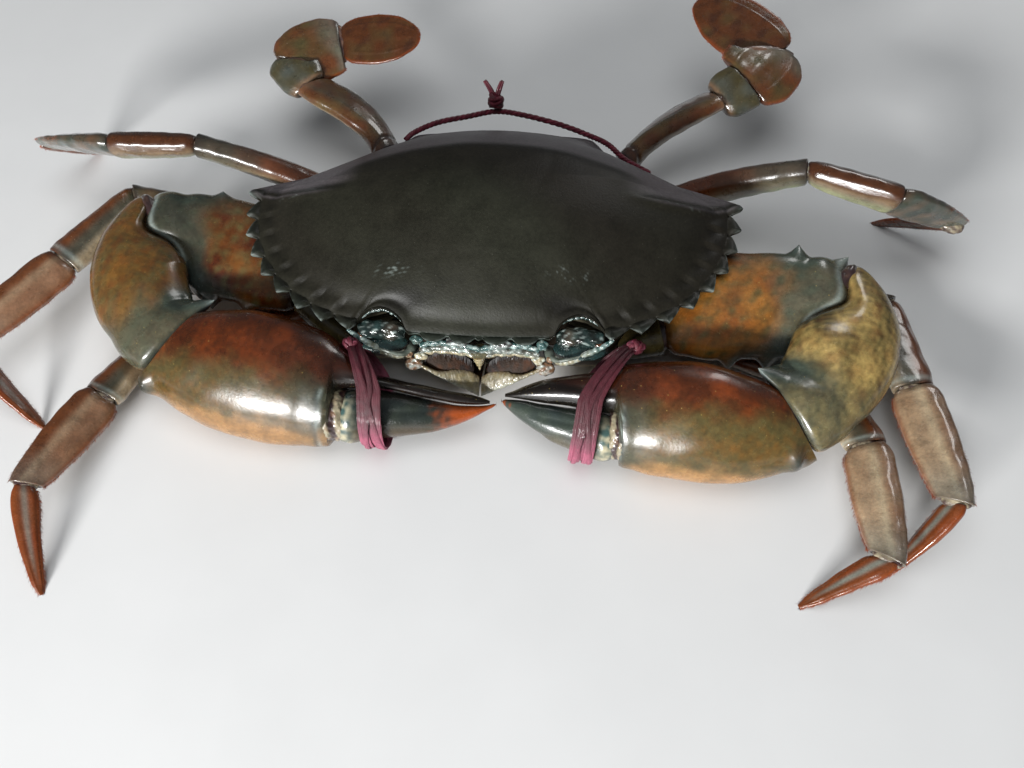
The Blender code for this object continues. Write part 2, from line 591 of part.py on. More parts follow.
def leg_joints(leg):
    joints = [Vector(leg["hip"])]
    for length, azimuth, elevation in leg["bones"]:
        joints.append(joints[-1] + toward(azimuth, elevation) * length)
    joints[-1].z = 0.0
    return joints


def make_leg(name, leg):
    """Four blade-like segments, parted at the planes that halve each bend."""
    joints = leg_joints(leg)
    broad, thin = LEG_SIZE[name[3]]
    for index, segment in enumerate(LEG_NAMES):
        start, end = joints[index], joints[index + 1]
        flex = Vector(leg["flex"][index])
        path = [start, end]
        if index == 0 and "knee" in leg:
            path = [start, Vector(leg["knee"]), end]
        if segment == "dactylus":
            path = [start, start.lerp(end, 0.5) - flex.normalized() * 1.6, end]
        stations = [(f, b * broad, t * thin) for f, b, t in LEG_SECTIONS[segment]]
        bm = limb(path, flex, stations)
        if index == 0:
            cut(bm, (*leg["wall"], 0.0), (-leg["wall_normal"][0], -leg["wall_normal"][1], 0), gap=GAP)
        else:
            cut(bm, start, -bend_plane(joints[index - 1], start, end))
        if index < 3:
            cut(bm, end, bend_plane(start, end, joints[index + 2]))
        cut_floor(bm)
        add_object(f"{name}_{segment}", bm, LEG_BROWN)


# Swimming legs, raised behind

SWIMMERS = {
    "leg5_left": dict(side=1, hip=(36.4, 35.0, 12.0), knee=(43.9, 49.6, 19.5), joints=(
        (67.8, 59.2, 25.0), (77.0, 63.9, 27.5), (87.6, 77.8, 30.0), (61.4, 97.8, 34.0)),
        broad=(0.35, 0.80, -0.2), breadths=(1.0, 1.04, 1.2, 1.06)),
    "leg5_right": dict(side=-1, hip=(-36.4, 35.0, 12.0), knee=(-39.0, 52.2, 19.5), joints=(
        (-65.4, 60.8, 25.0), (-73.9, 69.6, 27.5), (-57.0, 78.2, 30.0), (-29.6, 76.0, 34.0)),
        broad=(0.1, 0.9, -0.2), breadths=(1.0, 1.0, 1.04, 0.87)),
}
SWIM_SECTIONS = {
    "merus": ((-0.1, 5.0, 4.0), (0.1, 5.2, 4.0), (0.35, 5.2, 3.6), (0.65, 6.8, 3.6), (0.88, 7.0, 3.3),
              (1.05, 4.8, 2.6)),
    "carpus": ((-0.3, 3.8, 2.4), (0.0, 6.0, 3.1), (0.5, 7.6, 3.3), (1.0, 7.4, 2.9), (1.25, 5.0, 2.0)),
    "propodus": ((-0.2, 5.4, 2.2), (0.0, 8.6, 2.6), (0.35, 10.6, 2.4), (0.75, 10.2, 2.0), (1.0, 7.6, 1.6),
                 (1.12, 4.8, 1.2)),
    "dactylus": ((-0.06, 4.4, 1.1), (0.04, 7.0, 1.3), (0.22, 9.2, 1.2), (0.45, 9.8, 1.1), (0.68, 8.8, 1.0),
                 (0.86, 6.0, 0.8), (0.97, 3.0, 0.6), (1.0, 1.2, 0.4)),
}


def make_swimmer(name, leg):
    """Last leg: short broad segments ending in an oval paddle."""
    joints = [Vector(leg["hip"])] + [Vector(j) for j in leg["joints"]]
    for index, segment in enumerate(LEG_NAMES):
        start, end = joints[index], joints[index + 1]
        path = [start, end]
        if index == 0:
            path = [start, Vector(leg["knee"]), end]
        stations = [(f, b * leg["breadths"][index], t) for f, b, t in SWIM_SECTIONS[segment]]
        bm = limb(path, leg["broad"] if index == 0 else view_broad(start, end), stations, 12)
        if index == 0:
            a, b = TRUNK_FACETS[5], TRUNK_FACETS[6]
            out = unit((a[1] - b[1]) * -1 * leg["side"], a[0] - b[0], 0)
            cut(bm, (a[0] * leg["side"], a[1], 0), -out, gap=GAP)
        else:
            cut(bm, start, -bend_plane(joints[index - 1], start, end))
        if index < 3:
            cut(bm, end, bend_plane(start, end, joints[index + 2]))
        add_object(f"{name}_{segment}", bm, LEG_BROWN)


def view_broad(start, end):
    """Breadth direction of a paddle segment: level with a surface tipped toward the front."""
    up = unit(0.0, -0.45, 0.9)
    return up.cross(Vector(end) - Vector(start)).normalized()


# Ties

KNOT = (-3.0, 53.1, 24.7)
STRAP_WIDE = 6.2
STRAP_THICK = 1.2
STRAP_LEAN = 0.2
STRAP_LIFT = 2.2
STRAP_PULL = 0.9
STRAP_SPLAY = 0.35


def make_band(label, claw):
    """Flat strap round both fingers of a claw, slanting up to a point under the shell's edge."""
    fraction, low, high, half_thick = claw["strap"]
    start = claw_rings(claw, ((fraction, low, high, half_thick),), 32)[0]
    centre = sum(start, Vector()) / len(start)
    apex = Vector(claw["strap_apex"])
    bm = bmesh.new()
    loops = []
    for mid in start:
        out = mid - centre
        height = out.dot(PALM_H) / ((high - low) / 2)
        out = (PALM_H * height + PALM_T * (out.dot(PALM_T) / half_thick)).normalized()
        pull = STRAP_PULL * max((height - STRAP_SPLAY) / (1.0 - STRAP_SPLAY), 0.0) ** 1.3
        lift = STRAP_LIFT if out.dot(PALM_T) > 0 else 0.0
        lean = (apex.x - centre.x) * STRAP_LEAN * (height + 1.0) / 2
        mid = (mid + Vector((lean, 0, 0))).lerp(apex, pull) + PALM_T * lift * sin(pi * pull)
        side = Vector((STRAP_WIDE * (1.0 - 0.45 * pull) / 2, 0, 0))
        ring = (mid - side, mid - side + out * STRAP_THICK, mid + side + out * STRAP_THICK, mid + side)
        loops.append([bm.verts.new(p) for p in ring])
    for i, a in enumerate(loops):
        b = loops[(i + 1) % len(loops)]
        for k in range(4):
            j = (k + 1) % 4
            bm.faces.new((a[k], a[j], b[j], b[k]))
    cut_floor(bm)
    add_object(f"tie_claw_{label}", bm, (0.40, 0.12, 0.16), 0.5)


def make_rear_tie():
    """Cord pulled round the rear edge, knotted behind, its cut ends short."""
    route = ((-31.5, 41.9, 20.6), (-29.0, 45.2, 20.8), (-22.0, 48.6, 22.0), (-12.0, 51.0, 22.9),
             (-3.0, 53.0, 23.5), (6.0, 51.8, 23.3), (18.0, 48.8, 22.4), (28.0, 45.0, 21.3),
             (33.5, 40.0, 22.6), (38.8, 33.9, 22.4), (46.5, 28.5, 22.0))
    curve = bpy.data.curves.new("tie_rear", "CURVE")
    curve.dimensions = "3D"
    curve.bevel_depth = 0.9 * MM
    curve.bevel_resolution = 2
    curve.use_fill_caps = True
    spline = curve.splines.new("POLY")
    spline.points.add(len(route) - 1)
    for point, place in zip(spline.points, route):
        point.co = (place[0] * MM, place[1] * MM, place[2] * MM, 1.0)
    curve.materials.append(material("tie_rear", (0.35, 0.08, 0.12), 0.5))
    made = bpy.data.objects.new("tie_rear", curve)
    bpy.context.scene.collection.objects.link(made)


def make_rear_knot():
    """Lump of the knot on top of the rear tie, with its two cut ends standing up."""
    foot = Vector((KNOT[0], KNOT[1], KNOT[2]))
    lump = limb([foot, foot + Vector((0.0, 1.5, 4.4))], (1, 0, 0),
                ((0.0, 1.8, 1.4), (0.2, 2.8, 2.1), (0.55, 3.0, 2.3), (0.85, 2.2, 1.7), (1.0, 1.2, 1.0)), 12)
    ends = [limb([foot + Vector((0.0, 0.8, 2.6)), foot + Vector((lean, 3.4, 8.2))], (1, 0, 0),
                 ((0.0, 1.0, 0.7), (0.6, 0.9, 0.6), (1.0, 0.8, 0.5)), 8) for lean in (-3.4, 2.0)]
    add_object("tie_knot", union(lump, ends), (0.35, 0.08, 0.12), 0.5)


def main():
    for old in list(bpy.data.objects):
        bpy.data.objects.remove(old)
    make_carapace()
    make_trunk()
    make_tail_flap()
    for label, side in (("left", 1), ("right", -1)):
        make_maxilliped(f"maxilliped_{label}", side)
        make_eye(f"eye_{label}", side)
        make_antenna(f"antenna_{label}", side)
    for label, claw in CLAWS.items():
        make_claw_ischium(label, claw)
        make_claw_merus(label, claw)
        make_claw_carpus(label, claw)
        make_palm(label, claw)
        make_claw_dactylus(label, claw)
        make_band(label, claw)
    for name, leg in LEGS.items():
        make_leg(name, leg)
    for name, leg in SWIMMERS.items():
        make_swimmer(name, leg)
    make_rear_tie()
    make_rear_knot()


main()
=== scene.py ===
"""Mud crab: shell, claws, legs, face, fringe hairs and ties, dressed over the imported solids.

Lengths are millimetres and become metres when a mesh is made. The crab faces -Y, its own left side
is +X, and it rests on z = 0. A shape is a grid worked out as whole arrays, rows by columns by xyz.
"""

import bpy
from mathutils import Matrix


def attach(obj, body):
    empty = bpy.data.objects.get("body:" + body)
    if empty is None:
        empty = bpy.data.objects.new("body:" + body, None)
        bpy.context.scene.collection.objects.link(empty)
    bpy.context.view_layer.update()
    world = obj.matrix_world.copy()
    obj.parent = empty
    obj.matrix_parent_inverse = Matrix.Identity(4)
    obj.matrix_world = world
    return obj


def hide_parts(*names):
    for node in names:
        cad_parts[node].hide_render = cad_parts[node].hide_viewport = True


bl_info = {
    "name": "Mud crab",
    "version": (1, 0, 0),
    "blender": (4, 5, 0),
    "location": "View3D > Sidebar > Crab",
    "description": "Dresses a bound mud crab: shell, claws, legs, face, fringe hairs and ties",
    "category": "Object",
}

from types import SimpleNamespace

import bpy
import numpy as np
from bpy.props import FloatProperty, FloatVectorProperty, IntProperty, PointerProperty
from mathutils import Matrix, Vector

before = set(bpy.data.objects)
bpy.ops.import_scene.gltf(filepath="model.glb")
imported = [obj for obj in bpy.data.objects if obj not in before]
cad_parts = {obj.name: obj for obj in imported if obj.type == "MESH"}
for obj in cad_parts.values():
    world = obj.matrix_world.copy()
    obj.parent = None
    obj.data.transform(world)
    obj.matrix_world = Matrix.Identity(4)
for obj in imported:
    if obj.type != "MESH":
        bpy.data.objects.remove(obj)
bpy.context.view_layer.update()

# Metres in a millimetre, the one body, the lowest heights of shell and skin, the gaps kept before the
# trunk's wall and on each side of a seam between two segments
MM = 0.001
BODY = "root"
FLOOR_GAP = 0.02
SKIN_GAP = 0.05
WALL_GAP = 0.15
SEAM_GAP = 0.15
UP = np.array((0.0, 0.0, 1.0))
# Sines summed in one field of soft bumps, and what their sum is divided by to stay near 1
SINES, SINE_SUM = 7, 4.0
# Rows of the fine lines that a limb, a claw and a claw's strap are cut from
LIMB_LINE_ROWS, CLAW_LINE_ROWS, STRAP_ROWS = 240, 460, 150
SIDES = (("left", 1), ("right", -1))


# Colours, vectors and curves

def linear(code):
    """Scene-linear red, green and blue of an sRGB hex value."""
    value = np.array([int(code[i:i + 2], 16) for i in (1, 3, 5)]) / 255
    return tuple(np.where(value <= 0.04045, value / 12.92, ((value + 0.055) / 1.055) ** 2.4))


def unit(vector):
    """Each vector divided by its own length."""
    vector = np.asarray(vector, float)
    return vector / np.maximum(np.linalg.norm(vector, axis=-1, keepdims=True), 1e-12)


def toward(azimuth, elevation):
    """Unit vector from an azimuth about +Z, from +X, and an elevation, both in degrees."""
    a, e = np.radians(azimuth), np.radians(elevation)
    return np.array((np.cos(a) * np.cos(e), np.sin(a) * np.cos(e), np.sin(e)))


def step(low, high, value):
    """Smooth step from 0 at low to 1 at high."""
    x = np.clip((value - low) / (high - low), 0.0, 1.0)
    return x * x * (3.0 - 2.0 * x)


def bell(value, centre, width):
    """Gaussian bump of height 1."""
    return np.exp(-((value - centre) / width) ** 2)


def paint(grid, base, *layers):
    """Colour of each point of a grid: the base, then each (colour, mask) laid over it in turn."""
    tint = np.broadcast_to(np.asarray(base, float), (*grid.shape[:2], 3)).copy()
    for colour, mask in layers:
        tint += (np.asarray(colour, float) - tint) * np.clip(mask, 0, 1)[..., None]
    return tint


def bezier(points, t):
    """Points at parameters t on the Bezier curve of any number of control points."""
    level = [np.asarray(p, float) for p in points]
    t = np.asarray(t, float)[..., None]
    while len(level) > 1:
        level = [a + (b - a) * t for a, b in zip(level, level[1:])]
    return level[0]


def cubic(knots, values, t):
    """Smooth curve through a table that never overshoots: a slope is the harmonic mean of its sides'."""
    slope = np.diff(values) / np.diff(knots)
    same = slope[1:] * slope[:-1] > 0
    inner = np.where(same, 2 * slope[1:] * slope[:-1] / np.where(same, slope[1:] + slope[:-1], 1.0), 0.0)
    tangent = np.concatenate((slope[:1], inner, slope[-1:]))
    i = np.clip(np.searchsorted(knots, t) - 1, 0, len(knots) - 2)
    wide = knots[i + 1] - knots[i]
    s = np.clip((t - knots[i]) / wide, 0.0, 1.0)
    return (values[i] * (1 + 2 * s) * (1 - s) ** 2 + tangent[i] * wide * s * (1 - s) ** 2
            + values[i + 1] * s * s * (3 - 2 * s) + tangent[i + 1] * wide * s * s * (s - 1))


def smooth_line(points, count):
    """Catmull-Rom curve through points, as count places at even steps of the index."""
    points = np.asarray(points, float)
    ring = np.concatenate((2 * points[:1] - points[1:2], points, 2 * points[-1:] - points[-2:-1]))
    t = np.linspace(0, len(points) - 1, count)
    i = np.minimum(t.astype(int), len(ring) - 4)
    s = (t - i)[:, None]
    a, b, c, d = ring[i], ring[i + 1], ring[i + 2], ring[i + 3]
    return 0.5 * (2 * b + (c - a) * s + (2 * a - 5 * b + 4 * c - d) * s ** 2
                  + (3 * b - a - 3 * c + d) * s ** 3)


def turns(count):
    """Angles of count even steps round a full turn."""
    return 2 * np.pi * np.arange(count) / count


def waves(points, size, seed):
    """Soft bumps between -1 and 1: a sum of sines in fixed directions, about size apart."""
    draw = np.random.default_rng(seed)
    total = np.zeros(points.shape[:-1])
    for _ in range(SINES):
        way = unit(draw.normal(size=3)) * 2 * np.pi / size * draw.uniform(0.6, 1.6)
        total = total + np.sin(points @ way + draw.uniform(0, 6.28))
    return total / SINE_SUM


# Grids

def superellipse(angle, power):
    """Cosine and sine of each angle raised to a power that keeps their signs."""
    c, s = np.cos(angle), np.sin(angle)
    return np.sign(c) * np.abs(c) ** power, np.sign(s) * np.abs(s) ** power


def normals(grid):
    """Outward unit normals of a grid whose columns run round it, from central differences."""
    down = np.gradient(grid, axis=0)
    across = np.roll(grid, -1, axis=1) - np.roll(grid, 1, axis=1)
    normal = unit(np.cross(across, down))
    if ((grid - grid.mean(axis=1, keepdims=True)) * normal).sum() < 0:
        normal = -normal
    return normal


def raised(grid, height):
    """The grid moved along its normals by a height for each point."""
    return grid + normals(grid) * height[..., None]


def grounded(grid, low=FLOOR_GAP):
    """The grid with every point that is lower than the lowest height lifted to it."""
    return np.concatenate((grid[..., :2], np.maximum(grid[..., 2:], low)), axis=-1)


def crossing(lines, plane, toward_end):
    """Row, with its fraction, at which each lengthwise line comes to a seam's gap from a plane."""
    point, normal = plane
    depth = (lines - np.asarray(point, float)) @ unit(normal) + SEAM_GAP
    if not toward_end:
        depth = depth[::-1]
    half = len(lines) // 2
    tail = depth[half:]
    past = tail >= 0
    hit = np.where(past.any(axis=0), np.maximum(np.argmax(past, axis=0), 1), len(tail) - 1)
    column = np.arange(lines.shape[1])
    before, after = tail[hit - 1, column], tail[hit, column]
    part = np.where(past.any(axis=0), np.clip(-before / (after - before + 1e-9), 0, 1), 1.0)
    row = half + hit - 1 + part
    return row if toward_end else len(lines) - 1 - row


def cut_lines(lines, rows, start, end):
    """Lengthwise lines trimmed by two planes and resampled to rows, closer together near the ends."""
    low = np.zeros(lines.shape[1])
    high = np.full(lines.shape[1], len(lines) - 1.0)
    if start is not None:
        low = crossing(lines, start, False)
    if end is not None:
        high = crossing(lines, end, True)
    x = np.linspace(0, 1, rows)
    spread = (x - 0.12 * np.sin(2 * np.pi * x))[:, None]
    place = low + (high - low) * spread
    i = np.clip(place.astype(int), 0, len(lines) - 2)
    part = (place - i)[..., None]
    column = np.arange(lines.shape[1])[None, :]
    return lines[i, column] * (1 - part) + lines[i + 1, column] * part, spread


def shaped_ends(grid, neck=0.0, flare=0.0, lip=0.5, neck_long=3.0):
    """Draw a limb in at its start, as a neck, flare it at its end, and round both edges over."""
    centre = grid.mean(axis=1, keepdims=True)
    stretch = np.linalg.norm(np.diff(centre[:, 0], axis=0), axis=1)
    place = np.concatenate(((0.0,), np.cumsum(stretch)))[:, None]
    left = place[-1] - place
    inward = neck * (1 - step(0.0, neck_long, place)) - flare * np.exp(-(left / 2.2) ** 2)
    for far in (place, left):
        inside = np.clip(lip - far, 0.0, lip)
        inward = inward + lip - np.sqrt(lip * lip - inside * inside)
    return grid - unit(grid - centre) * inward[..., None]


def limb_lines(path, broad, table, cols, power=0.85, thin=None):
    """Fine lengthwise lines round a limb. At fraction t of a Bezier path the section is the superellipse
    half breadth times |cos|^power, half thickness times |sin|^power; the table's sizes run smoothly."""
    table = np.array([(*row, 0.0)[:4] for row in table])
    t = np.linspace(table[0, 0], table[-1, 0], LIMB_LINE_ROWS)
    half_broad, half_thin, shift = (cubic(table[:, 0], table[:, k], t)[:, None, None] for k in (1, 2, 3))
    inside = np.clip(t, 0.0, 1.0)
    near = np.clip(inside, 0.01, 0.99)
    along = unit(bezier(path, near + 0.01) - bezier(path, near - 0.01))
    length = np.linalg.norm(np.subtract(path[-1], path[0]))
    centre = bezier(path, inside) + along * ((t - inside) * length)[:, None]
    if thin is not None:
        breadth = unit(np.cross(thin, along))
    elif len(broad) == 2:
        breadth = np.asarray(broad[0]) + (np.asarray(broad[1]) - broad[0]) * inside[:, None]
    else:
        breadth = np.broadcast_to(np.asarray(broad, float), along.shape)
    through = unit(np.cross(along, breadth))
    breadth = unit(np.cross(through, along))
    c, s = superellipse(turns(cols), power)
    ring = (breadth[:, None] * (shift + half_broad * c[None, :, None])
            + through[:, None] * half_thin * s[None, :, None])
    return centre[:, None] + ring


def spiked(grid, tips, radius, power=1.4):
    """Draw the surface out to each spine's tip, most at the nearest point; also how spiny each point is."""
    spiny = np.zeros(grid.shape[:2])
    for tip in tips:
        away = np.linalg.norm(grid - np.asarray(tip, float), axis=-1)
        root = grid.reshape(-1, 3)[np.argmin(away)]
        weight = np.clip(1 - np.linalg.norm(grid - root, axis=-1) / radius, 0, 1)
        grid = grid + (np.asarray(tip) - root) * (weight ** power)[..., None]
        spiny = np.maximum(spiny, weight)
    return grid, spiny


def ball(centre, radii, rows=16, cols=24, axes=None, lumps=0.0, lump_size=1.5, seed=1):
    """Ellipsoid grid, pole to pole along its third axis, with soft lumps on it."""
    polar = np.linspace(0.02, np.pi - 0.02, rows)[:, None]
    turn = turns(cols)
    place = np.stack((np.sin(polar) * np.cos(turn), np.sin(polar) * np.sin(turn),
                      np.cos(polar) * np.ones(cols)), axis=-1) * np.asarray(radii, float)
    if axes is not None:
        place = place @ np.asarray(axes, float)
    place = place + np.asarray(centre, float)
    if lumps:
        place = raised(place, lumps * waves(place, lump_size, seed))
    return place


def tube(line, radius, cols=10, flat=1.0, broad=UP):
    """Tube grid round a line of points; flat squashes it across its breadth."""
    count = len(line)
    radius = np.interp(np.linspace(0, 1, count), np.linspace(0, 1, np.size(radius)), np.atleast_1d(radius))
    along = unit(np.gradient(line, axis=0))
    through = unit(np.cross(along, broad))
    breadth = np.cross(through, along)
    angle = turns(cols)
    ring = (breadth[:, None] * np.cos(angle)[None, :, None]
            + through[:, None] * np.sin(angle)[None, :, None] * flat)
    return line[:, None] + ring * radius[:, None, None]


def closed_limb(grid, tint, socket=0.6):
    """A limb's grid and colours with a small inner ring at each end, the far one sunk as a socket."""
    first, last = grid[0].mean(axis=0), grid[-1].mean(axis=0)
    way = unit(last - grid[-4].mean(axis=0))
    foot = first + (grid[0] - first) * 0.6
    inner = last + (grid[-1] - last) * 0.7 - way * socket
    dark = tint[-1:] * 0.4
    return np.concatenate((foot[None], grid, inner[None])), np.concatenate((tint[:1], tint, dark))


def add_segment(limb, segment, grid, tint, finish, socket=0.6):
    """A limb's segment, closed at both ends, in place of its own solid."""
    grid, tint = closed_limb(grid, tint, socket)
    add_piece(f"{limb}_{segment}_shell", [grid], [tint], finish, (f"{limb}_{segment}",))


# Meshes

def add_piece(name, grids, tints, finish, replaced=(), places=None, sharp=60):
    """One mesh of closed grids in millimetres, columns wrapped and each end drawn to a pole.

    Tints are a colour for each point, or one for each grid; places are the grids' own OFBake patches.
    """
    verts, quads, tris, colours, texture = [], [], [], [], []
    base = 0
    for number, (grid, tint) in enumerate(zip(grids, tints)):
        rows, cols = grid.shape[:2]
        ends = np.stack((grid[0].mean(axis=0), grid[-1].mean(axis=0)))
        index = base + np.arange(rows * cols).reshape(rows, cols)
        right = np.roll(index, -1, axis=1)
        quad = np.stack((index[:-1], right[:-1], right[1:], index[1:]), axis=-1).reshape(-1, 4)
        first = np.stack((right[0], index[0], np.full(cols, base + rows * cols)), axis=-1)
        last = np.stack((index[-1], right[-1], np.full(cols, base + rows * cols + 1)), axis=-1)
        corner, side, far = grid[:-1], np.roll(grid, -1, axis=1)[:-1], grid[1:]
        middle = grid.reshape(-1, 3).mean(axis=0)
        if (np.cross(side - corner, far - corner) * (corner - middle)).sum() < 0:
            quad, first, last = quad[:, ::-1], first[:, ::-1], last[:, ::-1]
        verts += [grid.reshape(-1, 3), ends]
        quads.append(quad)
        tris += [first, last]
        colour = np.broadcast_to(np.asarray(tint, float), (rows, cols, 3))
        colours += [colour.reshape(-1, 3), np.stack((colour[0].mean(axis=0), colour[-1].mean(axis=0)))]
        if places is not None:
            uv = places[number]
            texture += [uv.reshape(-1, 2), np.stack((uv[0].mean(axis=0), uv[-1].mean(axis=0)))]
        base += rows * cols + 2
    verts = np.concatenate(verts) * MM
    quads, tris = np.concatenate(quads), np.concatenate(tris)
    corners = np.concatenate((quads.reshape(-1), tris.reshape(-1)))
    starts = np.concatenate((np.arange(len(quads)) * 4, len(quads) * 4 + np.arange(len(tris)) * 3))
    mesh = bpy.data.meshes.new(name)
    mesh.vertices.add(len(verts))
    mesh.vertices.foreach_set("co", verts.reshape(-1))
    mesh.loops.add(len(corners))
    mesh.loops.foreach_set("vertex_index", corners.astype(np.int32))
    mesh.polygons.add(len(starts))
    mesh.polygons.foreach_set("loop_start", starts.astype(np.int32))
    mesh.update(calc_edges=True)
    layer = mesh.color_attributes.new("tint", "FLOAT_COLOR", "POINT")
    colours = np.concatenate(colours)
    layer.data.foreach_set("color", np.column_stack((colours, np.ones(len(colours)))).reshape(-1))
    if places is not None:
        layer = mesh.uv_layers.new(name="OFBake")
        layer.data.foreach_set("uv", np.concatenate(texture)[corners].reshape(-1).astype(np.float32))
    mesh.shade_smooth()
    mesh.set_sharp_from_angle(angle=np.radians(sharp))
    mesh.materials.append(finish)
    made = bpy.data.objects.new(name, mesh)
    bpy.context.scene.collection.objects.link(made)
    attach(made, BODY)
    if replaced:
        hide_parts(*replaced)
    return made


def tufts(roots, ways, lengths, radius, droop, spots):
    """Fringe hairs as curved three-sided spikes of their own, with a patch each on the limb's unwrap."""
    rise = np.array((0.0, 0.35, 0.7, 1.0))
    wide = np.array((1.0, 0.8, 0.45, 0.08))
    turn = turns(3)
    ways = unit(ways)
    side = unit(np.cross(ways, (0.31, 0.17, 0.93)))
    other = np.cross(ways, side)
    lengths = np.asarray(lengths)[:, None, None]
    spine = (roots[:, None] + ways[:, None] * rise[None, :, None] * lengths
             + np.asarray(droop, float)[None, None] * (rise ** 2)[None, :, None] * lengths)
    ring = (side[:, None] * np.cos(turn)[None, :, None] + other[:, None] * np.sin(turn)[None, :, None])
    grids = spine[:, :, None] + ring[:, None] * (radius * wide)[None, :, None, None]
    spread = np.stack((np.cos(turn), np.sin(turn)), axis=-1)[None, None] * (wide * 0.0015)[:, None, None]
    return list(grounded(grids)), list(spots[:, None, None] + spread)


# Materials: every one takes its main colour from the tint painted on the mesh

# Refraction of the wet coat; how far red, green and blue light spreads in flesh, as parts of its depth
WATER_COAT_IOR = 1.4
FLESH_RADIUS = (1.0, 0.5, 0.3)
FLESH_DEPTH = 2.0 * MM


def add_node(tree, kind, links=(), **values):
    """New shader node with input values set and links made, keyed by input name or number."""
    node = tree.nodes.new(kind)
    for key, value in values.items():
        if key.startswith("in_"):
            name = key[3:].replace("_", " ")
            node.inputs[int(name) if name.isdigit() else name].default_value = value
        else:
            setattr(node, key, value)
    for socket, source in links:
        tree.links.new(source, node.inputs[socket])
    return node


def noise(tree, place, size, detail, **values):
    """Noise with features of a size in millimetres."""
    return add_node(tree, "ShaderNodeTexNoise", [("Vector", place)], in_Scale=1 / (size * MM),
                    in_Detail=detail, **values).outputs["Fac"]


def remap(tree, value, low, high, new_low, new_high):
    """A value taken in a straight line from one range to another, and held at its ends."""
    return add_node(tree, "ShaderNodeMapRange", [("Value", value)], in_From_Min=low, in_From_Max=high,
                    in_To_Min=new_low, in_To_Max=new_high).outputs[0]


def joined(tree, operation, first, second):
    """Sum or product of two values."""
    return add_node(tree, "ShaderNodeMath", [(0, first), (1, second)], operation=operation).outputs[0]


def finish_material(name, mottle=0.25, patch=6.0, fine=0.9, rough=0.35, wet=0.6, grain=0.05,
                    grain_size=0.5, speckle=None, soft=0.0, film=0.08, shine=0.5):
    """Wet shell or skin: the painted tint under broad and fine mottling, a grained surface, a wet coat.

    Tint times a factor within mottle of 1, which follows the sum of two noises. Sizes are millimetres.
    Speckle is (colour, spacing, radius) of fine raised dots; film is the roughness of the wet coat and
    shine the shell's own specular level.
    """
    made = bpy.data.materials.new(name)
    made.use_nodes = True
    tree = made.node_tree
    shader = tree.nodes["Principled BSDF"]
    place = add_node(tree, "ShaderNodeTexCoord").outputs["Object"]
    tint = add_node(tree, "ShaderNodeAttribute", attribute_name="tint").outputs["Color"]
    broad = noise(tree, place, patch, 4.0, in_Roughness=0.6, in_Distortion=0.2)
    small = noise(tree, place, fine, 3.0, in_Roughness=0.65)
    shade = remap(tree, joined(tree, "ADD", broad, small), 0.7, 1.3, 1 - mottle, 1 + mottle)
    colour = add_node(tree, "ShaderNodeVectorMath", [(0, tint), ("Scale", shade)],
                      operation="SCALE").outputs[0]
    height = small
    if speckle:
        dot_colour, spacing, radius = speckle
        cell = add_node(tree, "ShaderNodeTexVoronoi", [("Vector", place)], in_Scale=1 / (spacing * MM))
        dot = remap(tree, cell.outputs["Distance"], radius / spacing, 0.4 * radius / spacing, 0.0, 1.0)
        chosen = add_node(tree, "ShaderNodeSeparateColor", [("Color", cell.outputs["Color"])]).outputs[0]
        dot = joined(tree, "MULTIPLY", dot, remap(tree, chosen, 0.45, 0.8, 0.0, 0.8))
        blend = add_node(tree, "ShaderNodeMix", data_type="RGBA")
        tree.links.new(dot, blend.inputs["Factor"])
        tree.links.new(colour, blend.inputs["A"])
        blend.inputs["B"].default_value = (*linear(dot_colour), 1.0)
        colour = blend.outputs["Result"]
        height = joined(tree, "ADD", small, dot)
    relief = joined(tree, "ADD", height, noise(tree, place, grain_size, 2.0))
    bump = add_node(tree, "ShaderNodeBump", [("Height", relief)], in_Strength=1.0, in_Distance=grain * MM)
    tree.links.new(colour, shader.inputs["Base Color"])
    tree.links.new(remap(tree, broad, 0.3, 0.7, rough * 0.9, rough * 1.15), shader.inputs["Roughness"])
    tree.links.new(bump.outputs["Normal"], shader.inputs["Normal"])
    shader.inputs["Coat Weight"].default_value = wet
    shader.inputs["Coat Roughness"].default_value = film
    shader.inputs["Coat IOR"].default_value = WATER_COAT_IOR
    shader.inputs["Specular IOR Level"].default_value = shine
    if soft:
        shader.inputs["Subsurface Weight"].default_value = soft
        shader.inputs["Subsurface Radius"].default_value = FLESH_RADIUS
        shader.inputs["Subsurface Scale"].default_value = FLESH_DEPTH
    return made


def hair_finish():
    """Finish of a hair fringe."""
    # Horny bristles: read as dull brown hairs
    return finish_material("fringe_hair", mottle=0.4, patch=1.5, rough=0.5, wet=0.2, grain=0.0)


# Settings

def swatch(name, code, description):
    """Colour setting with an sRGB hex value as its default."""
    return FloatVectorProperty(name=name, description=description, subtype="COLOR", default=linear(code),
                               min=0.0, max=1.0)


